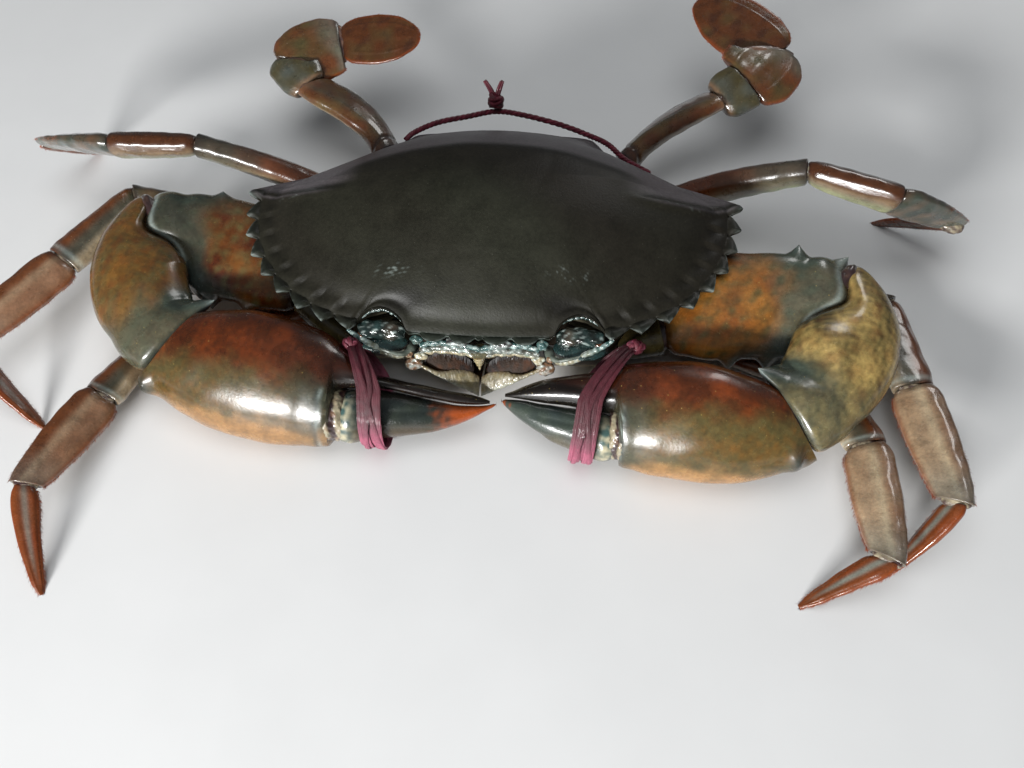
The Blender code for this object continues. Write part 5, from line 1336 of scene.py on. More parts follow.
LEG_NAMES = ("merus", "carpus", "propodus", "dactylus")
LEVEL = (0.0, 1.0, 0.0)
LEGS = {
    "leg2_left": dict(hip=(45.2, -13.5, 5.0), wall_normal=(0.993, -0.114),
                      bones=((59.0, -22.2, -1.0), (22.1, -74.5, 8.3), (35.8, -89.9, 8.4),
                             (24.8, -157.3, -30.0)),
                      flex=(LEVEL, (-0.98, -0.1, -0.15), (-0.94, -0.05, -0.33), (-0.6, -0.6, -0.4))),
    "leg2_right": dict(hip=(-45.2, -13.5, 4.9), wall_normal=(-0.993, -0.114),
                       bones=((58.6, -162.3, -0.9), (23.0, -108.2, 10.0), (32.6, -109.5, 5.3),
                              (29.2, -71.2, -22.1)),
                       flex=(LEVEL, (0.9, -0.4, -0.1), (0.84, -0.40, -0.39), (0.95, 0.2, -0.3))),
    "leg3_left": dict(hip=(46.0, 3.0, 7.0), wall_normal=(1.0, 0.0),
                      bones=((72.3, -9.0, 0.0), (31.4, -85.6, 5.1), (39.6, -85.7, 11.2),
                             (25.7, -139.7, -42.9)),
                      flex=(LEVEL, (-0.98, -0.1, -0.1), (-0.90, -0.1, -0.4), (-0.5, 0.5, -0.7))),
    "leg3_right": dict(hip=(-46.0, 3.0, 7.0), wall_normal=(-1.0, 0.0),
                       bones=((72.8, 167.5, 6.3), (32.0, -115.0, 2.0), (37.0, -121.0, 0.0),
                              (32.5, -37.0, -29.0)),
                       flex=(LEVEL, (0.85, -0.4, -0.3), (0.80, -0.50, -0.35), (0.5, 0.7, -0.5))),
    "leg4_left": dict(hip=(44.0, 20.0, 10.0), wall_normal=(0.968, 0.25),
                      bones=((52.5, 4.0, 22.0), (26.0, -21.0, -2.0), (26.5, 12.0, -32.0),
                             (27.0, 146.0, -34.0)),
                      knee=(57.6, 27.5, 17.0), flex=((0.0, 0.35, -0.94),) * 4),
    "leg4_right": dict(hip=(-44.0, 20.0, 10.0), wall_normal=(-0.968, 0.25),
                       bones=((54.0, 172.0, 21.5), (26.0, 180.0, -2.0), (33.0, 161.0, -17.0),
                              (24.0, 70.0, -46.0)), knee=(-58.4, 26.5, 17.0), flex=((0.0, 0.55, -0.83),) * 4),
}
LEG_SECTIONS = {
    "merus": ((-0.06, 4.6, 3.4), (0.06, 4.9, 3.6), (0.2, 4.3, 3.4), (0.4, 5.2, 3.4), (0.65, 5.4, 3.3),
              (0.88, 4.9, 3.0), (1.0, 4.1, 2.7), (1.07, 2.9, 2.0)),
    "carpus": ((-0.12, 2.4, 1.8), (0.0, 3.6, 2.5), (0.25, 4.3, 3.0), (0.6, 5.0, 3.2), (0.9, 5.6, 3.1),
               (1.05, 5.2, 2.7), (1.16, 3.8, 2.0)),
    "propodus": ((-0.14, 3.6, 1.8), (-0.04, 5.4, 2.4), (0.15, 6.3, 2.8), (0.45, 6.2, 2.8),
                 (0.75, 5.3, 2.5), (0.95, 4.4, 2.3), (1.06, 3.4, 1.9)),
    "dactylus": ((-0.1, 2.4, 1.6), (0.0, 3.1, 1.9), (0.18, 3.3, 1.9), (0.45, 2.8, 1.6), (0.72, 2.0, 1.2),
                 (0.9, 1.3, 0.9), (1.02, 0.6, 0.5)),
}
# Breadth and thickness factors by leg; the last legs' thickness factor and its fall along the segment
LEG_SIZE = {"2": (0.98, 0.86), "3": (1.0, 0.96), "4": (1.04, 1.26)}
REAR_SLIM = {"propodus": (0.95, 0.40), "dactylus": (0.70, 0.0)}
# How a limb is made: columns and rows of a segment's grid, its neck at the body, its edge radius as a
# factor, hair lanes as (column, low, high, count), factors of hair seeds and lengths, how far hairs droop,
# the skin's size in the end ring with its depth in millimetres, its second colour and least share
LEG_STYLE = dict(cols=60, rows=90, neck=0.2, lip=1.0, lanes=((0, 0.08, 0.96, 240), (30, 0.5, 0.95, 40)),
                 seed=7, hair=1.0, droop=-0.15, skin_size=(0.78, 0.78, 1.7), skin_colour=("ivory", 0.2))
SWIM_STYLE = dict(cols=96, rows=100, neck=0.0, lip=1.6, lanes=((0, 0.05, 0.97, 130), (48, 0.05, 0.97, 130)),
                  seed=5, hair=0.7, droop=0, skin_size=(0.8, 0.75, 2.0), skin_colour=("pink", 0.3))


def leg_joints(leg):
    """Hip and the end of each segment, one after the other, with the tip on the floor."""
    joints = [np.array(leg["hip"])]
    for length, azimuth, elevation in leg["bones"]:
        joints.append(joints[-1] + toward(azimuth, elevation) * length)
    joints[-1][2] = 0.0
    return joints


def leg_paint(segment, grid, s, edge, colours, rear, pinker_and_lit):
    """Colours of a walking leg's segment. Edge runs from -1 on the outer edge to 1 on the inner edge."""
    blotch = waves(grid, 8.0, 17)
    above = step(-0.3, 0.5, normals(grid)[..., 2])
    lower = 1 - above
    joint = bell(s, 1.0, 0.035) + bell(s, 0.0, 0.03)
    if segment == "merus":
        return paint(grid, colours.brown * (1 - 0.3 * rear),
                     (colours.orange, (0.3 + 0.4 * blotch) * (1 - 0.6 * rear)), (colours.pale, lower * 0.7),
                     (colours.green, step(0.55, 0.9, s) * 0.75), (colours.dark, bell(edge, -1, 0.3) * 0.4),
                     (colours.leaf, step(0.35, 0.8, s) * step(-0.2, 0.4, edge) * rear * 0.8),
                     (colours.dark, joint * 0.7))
    if segment == "carpus":
        return paint(grid, colours.brown * (1 - 0.55 * rear), (colours.green, step(-0.5, 0.1, edge) * 0.8),
                     (colours.pale, step(0.2, 0.8, edge) * 0.7 + lower * 0.4),
                     (colours.leaf, step(-0.3, 0.3, edge) * rear * 0.7), (colours.dark, joint * 0.6),
                     # Painted highlight: a pale ring near the carpus's end, left off the last legs
                     (colours.rim, bell(s, 0.94, 0.03) * 0.3 * (1 - rear)))
    if segment == "propodus":
        # Painted highlight: a pale band along the middle of the face, stronger on the legs of the crab's left
        # side, which are also painted paler overall as lit legs, with more pink
        highlight_streak = bell(edge, -0.15, 0.18) * (0.3 + 0.5 * pinker_and_lit) * (1 - rear)
        back = step(0.1, -0.7, edge) * (0.9 - 0.3 * pinker_and_lit)
        return paint(grid, colours.pink, (colours.pale, 0.45 * pinker_and_lit),
                     (colours.brown, back + 0.2 * blotch + 0.25 * (1 - pinker_and_lit)),
                     (colours.pale, highlight_streak + lower * 0.5 * (1 - 0.6 * rear)),
                     (colours.green * 0.7, rear * (0.75 + 0.3 * blotch)),
                     (colours.grey, step(0.6, 0.95, s) * (0.3 + 0.2 * pinker_and_lit)),
                     (colours.orange * 0.6, step(0.75, 1.0, edge) * 0.6), (colours.dark, joint * 0.5))
    return paint(grid, colours.orange * 0.45, (colours.brown, 0.45 + 0.3 * blotch),
                 (colours.grey, bell(edge, 0.0, 0.22) * (0.55 + 0.3 * pinker_and_lit) * step(1.0, 0.5, s)),
                 (colours.orange, step(0.8, 1.0, np.abs(edge)) * 0.25),
                 (colours.dark, bell(s, 0.0, 0.03) * 0.6))


def edge_hairs(grid, column, low, high, count, sizes, seed):
    """Roots, ways, lengths and unwrap spots of hairs along one lengthwise line of a limb's grid."""
    draw = np.random.default_rng(seed)
    rows, cols = grid.shape[:2]
    at = np.sort(draw.uniform(low, high, count))
    row = at * (rows - 1)
    i = np.clip(row.astype(int), 0, rows - 2)
    lane = (column + np.round(draw.normal(0, 1.1, count)).astype(int)) % cols
    part = (row - i)[:, None]
    roots = grid[i, lane] * (1 - part) + grid[i + 1, lane] * part
    out = normals(grid)[i, lane]
    along = unit(grid[i + 1, lane] - grid[i, lane])
    ways = out * 0.7 + along * draw.uniform(0.6, 1.3, count)[:, None] + draw.normal(0, 0.12, (count, 3))
    lengths = sizes.hair * draw.uniform(0.6, 1.1, count)
    spots = np.column_stack((0.02 + 0.96 * lane / cols, 0.02 + 0.96 * at))
    return roots - out * 0.15, ways, lengths, spots


def end_skin(grid, normal, broad, style, seed):
    """Skin in the joint at a segment's end: a softly lumped ellipsoid that fills part of the end ring."""
    centre = grid[-1].mean(axis=0)
    ring = grid[-1] - centre
    through = unit(np.cross(normal, broad))
    across = unit(np.cross(through, normal))
    wide, high, deep = style["skin_size"]
    size = (np.abs(ring @ across).max() * wide, np.abs(ring @ through).max() * high, deep)
    return grounded(ball(centre, size, 18, 36, (across, through, normal), 0.15, 1.5, seed), SKIN_GAP)


def make_limb(name, joints, wall, form, cover, style, colours, sizes, finishes):
    """Four segments parted at the planes that halve each bend, with edge fringes and skin in the joints.

    Form gives a segment's lengthwise lines and the way of its breadth; cover gives its relief and colours.
    """
    shell, tip_shell, skin, hair = finishes
    skins, skin_tints, hairs, spots = [], [], [], []
    for index, segment in enumerate(LEG_NAMES):
        start, end = joints[index], joints[index + 1]
        lines, broad = form(index, segment, start, end)
        first = (start, -bend_plane(joints[index - 1], start, end)) if index else wall
        last = (end, bend_plane(start, end, joints[index + 2])) if index < 3 else None
        grid, s = cut_lines(lines, style["rows"], first, last)
        neck, flare = 0.5 if index else style["neck"], 0.15 if index < 3 else 0.0
        grid = shaped_ends(grid, neck, flare, sizes.lip * style["lip"], 2.5)
        grid, tint = cover(index, segment, grid, s)
        if segment in ("propodus", "dactylus"):
            for lane, low, high, count in style["lanes"]:
                seed = index * style["seed"] + lane
                roots, ways, lengths, places = edge_hairs(grid, lane, low, high, count, sizes, seed)
                fresh, patch = tufts(roots, ways, lengths * style["hair"], sizes.hair_radius,
                                     (0, 0, style["droop"]), places)
                hairs += fresh
                spots += patch
        tip = segment == "dactylus"
        add_segment(name, segment, grid, tint, tip_shell if tip else shell)
        if index < 3:
            blob = end_skin(grid, last[1], broad, style, index + 3)
            colour, least = style["skin_colour"]
            skins.append(blob)
            skin_tints.append(paint(blob, colours.membrane,
                                    (getattr(colours, colour), least + 0.4 * waves(blob, 2.0, 6))))
    add_piece(f"{name}_joint_skin", skins, skin_tints, skin)
    add_piece(f"{name}_fringe", hairs, [colours.bristle] * len(hairs), hair, places=spots)


def make_leg(name, leg, colours, sizes, finishes):
    """Walking leg: blade-like segments with a keel along each edge and a flat along each face."""
    cols = LEG_STYLE["cols"]
    broad, thin = LEG_SIZE[name[3]]
    rear = name[3] == "4"
    # Legs 2 and 3 on the crab's left: painted with more pink, and paler with a stronger painted highlight, as
    # the lit side
    pinker_and_lit = 1.0 * (leg["hip"][0] > 0 and not rear)
    angle = turns(cols)
    edge, face = np.cos(angle)[None], np.abs(np.sin(angle))[None]
    wall = np.array((*leg["hip"][:2], 0.0))
    out = unit((*leg["wall_normal"], 0.0))

    def form(index, segment, start, end):
        """Straight lines, but for the rear leg's knee and the tip, which bows 1.6 mm outward."""
        flex = leg["flex"][index]
        path = [start, end]
        if index == 0 and "knee" in leg:
            path = [start, leg["knee"], end]
        if segment == "dactylus":
            path = [start, (start + end) / 2 - unit(flex) * 1.6, end]
        slim, taper = REAR_SLIM.get(segment, (1.0, 0.0)) if rear else (1.0, 0.0)
        table = [(f, b * broad, t * thin * (slim - taper * f)) for f, b, t in LEG_SECTIONS[segment]]
        return limb_lines(path, flex, table, cols), flex

    def cover(index, segment, grid, s):
        """Keel on both edges, a groove on both faces and low swells, less of it on the merus."""
        keel = (bell(np.abs(edge), 1.0, 0.10) * 0.35 - bell(face, 1.0, 0.12) * 0.25) * (1.0 if index else 0.3)
        grid = grounded(raised(grid, keel * step(0.0, 0.15, s) * step(1.0, 0.85, s)
                               + 0.12 * waves(grid, 6.0, 90 + index)))
        return grid, leg_paint(segment, grid, s, edge, colours, 1.0 * rear, pinker_and_lit)

    make_limb(name, leg_joints(leg), (wall + out * WALL_GAP, -out), form, cover, LEG_STYLE, colours, sizes,
              finishes)


# Swimming legs

# Hip, knee and ends of the segments; the first segment's breadth; factors of each segment's breadth; the
# height of each segment's veins. Section rows: fraction, half breadth and half thickness
SWIMMERS = {
    "leg5_left": dict(side=1, hip=(36.4, 35.0, 12.0), knee=(43.9, 49.6, 19.5), joints=(
        (67.8, 59.2, 25.0), (77.0, 63.9, 27.5), (87.6, 77.8, 30.0), (61.4, 97.8, 34.0)),
        broad=(0.35, 0.80, -0.2), breadths=(1.0, 1.04, 1.2, 1.06)),
    "leg5_right": dict(side=-1, hip=(-36.4, 35.0, 12.0), knee=(-39.0, 52.2, 19.5), joints=(
        (-65.4, 60.8, 25.0), (-73.9, 69.6, 27.5), (-57.0, 78.2, 30.0), (-29.6, 76.0, 34.0)),
        broad=(0.1, 0.9, -0.2), breadths=(1.0, 1.0, 1.04, 0.87)),
}
SWIM_FACET = 5
SWIM_VEINS = (0.1, 0.15, 0.25, 0.22)
SWIM_SECTIONS = {
    "merus": ((-0.1, 5.0, 4.0), (0.1, 5.2, 4.0), (0.35, 5.2, 3.6), (0.65, 6.8, 3.6), (0.88, 7.0, 3.3),
              (1.05, 4.8, 2.6)),
    "carpus": ((-0.3, 3.8, 2.4), (0.0, 6.0, 3.1), (0.5, 7.6, 3.3), (1.0, 7.4, 2.9), (1.25, 5.0, 2.0)),
    "propodus": ((-0.2, 5.4, 2.2), (0.0, 8.6, 2.6), (0.35, 10.6, 2.4), (0.75, 10.2, 2.0), (1.0, 7.6, 1.6),
                 (1.12, 4.8, 1.2)),
    "dactylus": ((-0.06, 4.4, 1.1), (0.04, 7.0, 1.3), (0.22, 9.2, 1.2), (0.45, 9.8, 1.1), (0.68, 8.8, 1.0),
                 (0.86, 6.0, 0.8), (0.97, 3.0, 0.6), (1.0, 1.2, 0.4)),
}


def swim_paint(segment, grid, s, edge, colours):
    """Colours of a swimming leg's segment: dark olive and brown, orange toward the edges of the paddle."""
    edge = np.abs(edge)
    blotch = waves(grid, 9.0, 27)
    lower = step(0.2, -0.4, normals(grid)[..., 2])
    joint = bell(s, 1.0, 0.05) + bell(s, 0.0, 0.04)
    rings = bell(s, 0.12, 0.03) + bell(s, 0.24, 0.02)
    if segment == "merus":
        return paint(grid, colours.brown * 0.6, (colours.olive, 0.2 + 0.4 * blotch),
                     (colours.green, bell(edge, 0.5, 0.2) * 0.4), (colours.pale, lower * 0.5),
                     (colours.dark, step(0.3, 0.1, s) * 0.8 + rings * 0.6), (colours.pink, joint * 0.4))
    if segment == "carpus":
        return paint(grid, colours.olive * 0.5, (colours.grey * 0.35, 0.5 + 0.5 * blotch),
                     (colours.pink, bell(s, 0.06, 0.08) * 0.5),
                     (colours.dark, joint * 0.6))
    if segment == "propodus":
        return paint(grid, colours.olive * 0.6, (colours.brown * 0.8, 0.55 + 0.5 * blotch),
                     (colours.grey, step(0.55, 0.95, s) * 0.35),
                     (colours.orange * 0.6, step(0.90, 1.0, edge) * 0.6), (colours.dark, joint * 0.6))
    return paint(grid, colours.brown * 0.5, (colours.olive * 0.6, 0.1 + 0.4 * blotch),
                 (colours.dark, np.clip(waves(grid, 5.0, 28), 0, 1) * 0.4),
                 (colours.orange * 0.6, step(0.84, 1.0, edge) * 0.6 + step(0.95, 1.0, s) * 0.3),
                 (colours.dark, bell(s, 0.0, 0.03) * 0.5))


def make_swimmer(name, leg, colours, sizes, finishes):
    """Last leg: short broad segments ending in an oval paddle with veins and a hair fringe."""
    cols = SWIM_STYLE["cols"]
    edge = np.cos(turns(cols))[None]

    def form(index, segment, start, end):
        """Straight lines with a level breadth, but for the first segment's knee and its own breadth."""
        path, broad = [start, end], unit(np.cross(unit((0.0, -0.45, 0.9)), end - start))
        if index == 0:
            path, broad = [start, leg["knee"], end], leg["broad"]
        table = [(f, half * leg["breadths"][index], t) for f, half, t in SWIM_SECTIONS[segment]]
        return limb_lines(path, broad, table, cols), broad

    def cover(index, segment, grid, s):
        """Veins along the faces, a rim at each edge, low swells and two rings sunk in the first segment."""
        veins = bell(np.abs(edge), 0.55, 0.05) + bell(np.abs(edge), 0.0, 0.05)
        rings = bell(s, 0.12, 0.015) + bell(s, 0.24, 0.015) if index == 0 else 0.0 * s
        grid = raised(grid, SWIM_VEINS[index] * veins * step(0.0, 0.2, s) * step(1.0, 0.7, s) - 0.45 * rings
                      + 0.10 * waves(grid, 6.0, 60 + index) + 0.18 * bell(np.abs(edge), 1.0, 0.08))
        return grid, swim_paint(segment, grid, s, edge, colours)

    make_limb(name, np.array((leg["hip"], *leg["joints"])), wall_plane(SWIM_FACET, leg["side"]), form, cover,
              SWIM_STYLE, colours, sizes, finishes)


# Ties

# Rear cord: places along it, the rows of its grid and the turns of its lay
REAR_ROUTE = ((-31.5, 41.9, 20.6), (-29.0, 45.2, 20.8), (-22.0, 48.6, 22.0), (-12.0, 51.0, 22.9),
              (-3.0, 53.0, 23.5), (6.0, 51.8, 23.3), (18.0, 48.8, 22.4), (28.0, 45.0, 21.3),
              (33.5, 40.0, 22.6), (38.8, 33.9, 22.4), (46.5, 28.5, 22.0))
CORD_ROWS, CORD_TURNS = 420, 20
# Loops of the rear knot, how far each cut end leans, strands in the cord and in each cut end
KNOT_LOOPS = 5
END_LEANS = (-3.4, 2.0)
STRANDS = 3
# Foot of the rear knot; the claw straps' breadth, thickness, lean toward the shell, lift over the fingers,
# pull toward the point under the shell and where that pull begins
KNOT = np.array((-3.0, 53.1, 24.7))
STRAP_WIDE, STRAP_THICK, STRAP_LEAN, STRAP_LIFT, STRAP_PULL, STRAP_SPLAY = 6.2, 1.2, 0.2, 2.2, 0.9, 0.35


def band_path(claw):
    """Middle line of a claw's strap, with its outward way and pull toward the point under the shell."""
    fraction, low, high, half_thick = claw["strap"]
    c, s = superellipse(2 * np.pi * np.linspace(0, 1, STRAP_ROWS), PALM_POWER)
    centre = claw_axis(claw, fraction) + PALM_H * (low + high) / 2
    start = centre + PALM_H * (high - low) / 2 * c[:, None] + PALM_T * half_thick * s[:, None]
    out = unit(PALM_H * c[:, None] + PALM_T * s[:, None])
    pull = STRAP_PULL * np.clip((c - STRAP_SPLAY) / (1 - STRAP_SPLAY), 0, 1) ** 1.3
    apex = claw["strap_apex"]
    lift = np.where(out @ PALM_T > 0, STRAP_LIFT, 0.0) * np.sin(np.pi * pull)
    lean = (apex[0] - centre[0]) * STRAP_LEAN * (c + 1) / 2
    middle = start + np.array((1.0, 0, 0)) * lean[:, None]
    middle = middle + (apex - middle) * pull[:, None] + PALM_T * lift[:, None]
    return middle, out, pull


def make_claw_tie(label, claw, colours, sizes, finish):
    """Flat ribbons of split fibre, finely ridged, side by side round the fingers; two of them cross over."""
    middle, out, pull = band_path(claw)
    draw = np.random.default_rng(5 if label == "left" else 6)
    across = np.array((1.0, 0.0, 0.0))
    t = np.linspace(0, 1, len(middle))
    cols = 32
    fibre = np.sin(turns(cols) * 9)[None]
    grids, tints = [], []
    for number in range(sizes.strands + 2):
        lane = np.full(len(t), (number + 0.5) / sizes.strands - 0.5)
        rise = 0.45 + 0.3 * np.sin(number * 2.3) + 0.15 * np.sin(t * 9 + number)
        wide = STRAP_WIDE / sizes.strands * draw.uniform(0.58, 0.74)
        if number >= sizes.strands:
            lane = 0.36 * np.cos(t * 2 * np.pi + (number - sizes.strands) * np.pi)
            rise = np.full(len(t), 0.95)
            wide = STRAP_WIDE / sizes.strands * 0.5
        lane = lane + 0.03 * np.sin(t * 11 + number * 1.7)
        line = (middle + across * (lane * STRAP_WIDE * (1 - 0.45 * pull))[:, None]
                + out * (rise * STRAP_THICK)[:, None])
        grid = tube(grounded(line, 0.35), wide * (1 - 0.35 * pull), cols, 0.30, across)
        grid = grounded(raised(grid, 0.05 * fibre + 0.06 * waves(grid, 3.0, number)), 0.03)
        grids.append(grid)
        # Painted light: each ribbon's lower part takes the lit pale colour, and the grooves between its
        # fibres are darkened as painted shade
        low = step(19.0, 8.0, grid[..., 2]) * draw.uniform(0.75, 1.0)
        shade = colours.tie * draw.uniform(0.55, 1.0)
        tints.append(paint(grid, shade, (colours.tie_pale, low * 0.85),
                           (colours.tie * 0.6, step(0.2, -1.0, fibre) * 0.35)))
    apex = claw["strap_apex"] + (0, -0.4, 0.6)
    knot = ball(apex, (2.6, 1.7, 2.0), 24, 36, lumps=0.35, lump_size=2.4, seed=15)
    grids.append(knot)
    tints.append(paint(knot, colours.tie, (colours.tie_pale, 0.1 + 0.3 * waves(knot, 1.5, 2))))
    angle = np.linspace(0, 2 * np.pi, 40)
    for turn in range(3):
        tilt = unit((np.cos(turn * 1.1), 0.3, np.sin(turn * 1.1)))
        a = unit(np.cross(tilt, (0.2, 1.0, 0.1)))
        b = np.cross(tilt, a)
        line = apex + a * 2.2 * np.cos(angle)[:, None] + b * 1.9 * np.sin(angle)[:, None]
        grids.append(tube(line, 0.6, 12, 0.4, tilt))
        tints.append(colours.tie * 1.2)
    add_piece(f"tie_claw_{label}_strands", grids, tints, finish, (f"tie_claw_{label}",))


def make_rear_tie(colours, finish):
    """Cord of three laid strands round the rear edge, its knot behind and the knot's cut ends."""
    line = smooth_line(REAR_ROUTE, CORD_ROWS)
    along = unit(np.gradient(line, axis=0))
    side = unit(np.cross(along, UP))
    rise = np.cross(side, along)
    turn = np.linspace(0, 2 * np.pi * CORD_TURNS, CORD_ROWS)
    grids, tints = [], []
    for strand in range(STRANDS):
        a = turn + strand * 2 * np.pi / STRANDS
        grids.append(tube(line + 0.42 * (side * np.cos(a)[:, None] + rise * np.sin(a)[:, None]), 0.5, 8))
        tints.append(colours.tie * (1.0 + 0.25 * strand))
    add_piece("tie_rear_cord", grids, tints, finish, ("tie_rear",))
    grids, tints = [], []
    up = unit((0.0, 1.5, 4.4))
    angle = np.linspace(0, 2 * np.pi, 44)
    for turn in range(KNOT_LOOPS):
        tilt = unit(up + 0.5 * np.array((np.sin(turn * 2.0), np.cos(turn * 2.0), 0)))
        a = unit(np.cross(tilt, (0.0, 1.0, 0.2)))
        b = np.cross(tilt, a)
        centre = KNOT + up * (0.9 + 0.75 * turn)
        wide = 2.3 - 0.25 * abs(turn - KNOT_LOOPS // 2)
        ring = centre + a * wide * np.cos(angle)[:, None] + b * wide * 0.75 * np.sin(angle)[:, None]
        grids.append(tube(ring, 0.75, 10, 0.8, tilt))
        tints.append(colours.tie * (1.3 if turn % 2 else 0.9))
    grids.append(ball(KNOT + up * 2.3, (2.3, 1.8, 2.4), 20, 30, lumps=0.3, seed=3))
    tints.append(colours.tie * 0.8)
    for lean in END_LEANS:
        line = smooth_line([KNOT + (0, 0.8, 2.6), KNOT + (lean * 0.5, 2.4, 5.6), KNOT + (lean, 3.4, 8.2)], 24)
        for strand in range(STRANDS):
            beside = (0.45 * np.sin(strand * 2.1), 0.3 * np.cos(strand * 2.1), 0)
            grids.append(tube(line + beside, (0.55, 0.5, 0.35), 8))
            tints.append(colours.tie * (1.0 + 0.2 * strand))
    add_piece("tie_knot_strands", grids, tints, finish, ("tie_knot",))


# Stage: floor, soft lights and the camera fitted to the photograph

# Floor half width, camera place and light places in metres, lens in millimetres, angles in degrees.
# Lights: name, place, aim, size, watts, colour, whether it is mirrored and whether it lights
FLOOR_HALF = 1.6
LIGHTS = (
    ("window_light", (-0.40, -0.90, 0.31), (0.0, -0.02, 0.02), (0.42, 0.10), 20.0, (1.0, 1.0, 0.99),
     True, True),
    ("side_light", (0.285, 0.55, 0.49), (0.12, -0.06, 0.01), (0.16, 0.30), 1.0, (1.0, 0.99, 0.97),
     True, False),
    ("sky_light", (-0.05, -0.10, 0.95), (0.0, 0.0, 0.0), (0.8, 0.8), 4.8, (0.97, 0.99, 1.0), False, True),
)
SURROUND_COLOUR = (0.8, 0.85, 0.9, 1.0)
SURROUND_STRENGTH = 0.15
CAMERA_PLACE = (0.0274, -0.1985, 0.2442)
CAMERA_LENS = 35.16
CAMERA_DOWN, CAMERA_TURN, CAMERA_ROLL = 56.33, 6.84, -3.17


def camera_matrix():
    """Camera axes from its angle below the horizon, its turn about +Z and its roll."""
    e, a, r = np.radians((CAMERA_DOWN, CAMERA_TURN, CAMERA_ROLL))
    back = np.array((np.sin(a) * np.cos(e), -np.cos(a) * np.cos(e), np.sin(e)))
    right = np.array((np.cos(a), np.sin(a), 0.0))
    up = np.cross(back, right)
    right, up = np.cos(r) * right + np.sin(r) * up, -np.sin(r) * right + np.cos(r) * up
    turn = Matrix(np.column_stack((right, up, back)).tolist())
    return Matrix.Translation(CAMERA_PLACE) @ turn.to_4x4()


def add_light(name, place, aim, size, power, colour, mirrored, lighting):
    """Area light, placed and aimed in metres: one that isn't mirrored shows as no patch on the shells, and
    one that isn't lighting only glints."""
    data = bpy.data.lights.new(name, "AREA")
    data.shape = "RECTANGLE"
    data.size, data.size_y = size
    data.energy = power
    data.color = colour
    made = bpy.data.objects.new(name, data)
    bpy.context.scene.collection.objects.link(made)
    made.location = place
    made.rotation_euler = (Vector(aim) - Vector(place)).to_track_quat("-Z", "Y").to_euler()
    made.visible_glossy = mirrored
    made.visible_diffuse = lighting


def make_stage():
    """Pale floor, a low window light, a rear glint, a soft light above, dim surroundings and the camera."""
    floor = bpy.data.meshes.new("floor")
    corners = [(x * FLOOR_HALF, y * FLOOR_HALF, 0) for x, y in ((-1, -1), (1, -1), (1, 1), (-1, 1))]
    floor.from_pydata(corners, [], [(0, 1, 2, 3)])
    # Matt pale board: reads as an even light ground with a soft shadow
    made = bpy.data.materials.new("pale_floor")
    made.use_nodes = True
    tree = made.node_tree
    shader = tree.nodes["Principled BSDF"]
    place = add_node(tree, "ShaderNodeTexCoord").outputs["Object"]
    grain = add_node(tree, "ShaderNodeTexNoise", [("Vector", place)], in_Scale=30.0, in_Detail=3.0)
    ramp = remap(tree, grain.outputs["Fac"], 0.0, 1.0, 0.60, 0.66)
    tint = add_node(tree, "ShaderNodeCombineColor", [(0, ramp), (1, ramp), (2, ramp)])
    tree.links.new(tint.outputs[0], shader.inputs["Base Color"])
    shader.inputs["Roughness"].default_value = 0.6
    floor.materials.append(made)
    stage = bpy.data.objects.new("floor", floor)
    bpy.context.scene.collection.objects.link(stage)
    for light in LIGHTS:
        add_light(*light)
    world = bpy.data.worlds.new("studio")
    world.use_nodes = True
    world.node_tree.nodes["Background"].inputs["Color"].default_value = SURROUND_COLOUR
    world.node_tree.nodes["Background"].inputs["Strength"].default_value = SURROUND_STRENGTH
    bpy.context.scene.world = world
    lens = bpy.data.cameras.new("camera")
    lens.lens = CAMERA_LENS
    lens.sensor_width = 36.0
    lens.clip_start = 0.01
    camera = bpy.data.objects.new("camera", lens)
    camera.matrix_world = camera_matrix()
    bpy.context.scene.collection.objects.link(camera)
    bpy.context.scene.camera = camera
    bpy.context.scene.view_settings.view_transform = "Standard"


# Operators

def colours_and_sizes(context):
    """The panel's colours as arrays by name, and its sizes."""
    group = context.scene.crab_colours
    colours = {name: np.array(getattr(group, name)) for name in CrabColours.__annotations__}
    return SimpleNamespace(**colours), context.scene.crab_sizes


def limb_finishes():
    """Finishes of the legs: segments, last segments, joint skin and hairs."""
    # Thin wet shell: reads as glossy brown and green plates with fine pale speckles
    shell = finish_material("wet_leg_shell", mottle=0.30, patch=5.0, fine=0.9, rough=0.28, wet=0.90,
                            grain=0.06, speckle=("#a8957c", 1.3, 0.13), soft=0.1)
    # Hard horny tips: read as smooth and less wet, with a tight highlight
    tip = finish_material("leg_tip_shell", mottle=0.25, patch=3.0, fine=0.5, rough=0.26, wet=0.5, grain=0.04)
    # Soft wet skin between the plates: reads as dark and slick
    skin = finish_material("joint_skin", mottle=0.3, patch=1.5, fine=0.4, rough=0.35, wet=0.9, grain=0.08)
    return shell, tip, skin, hair_finish()


class CRAB_OT_shell(bpy.types.Operator):
    """Build the carapace, trunk and tail flap"""
    bl_idname = "crab.shell"
    bl_label = "Shell"

    def execute(self, context):
        colours, sizes = colours_and_sizes(context)
        make_carapace(colours, sizes)
        make_trunk(colours)
        return {"FINISHED"}


class CRAB_OT_face(bpy.types.Operator):
    """Build the mouth legs, face ridges, orbits, eyes and antennae"""
    bl_idname = "crab.face"
    bl_label = "Face"

    def execute(self, context):
        colours, _ = colours_and_sizes(context)
        make_maxillipeds(colours)
        make_mouth(colours)
        make_eyes(colours)
        make_antennae(colours)
        return {"FINISHED"}


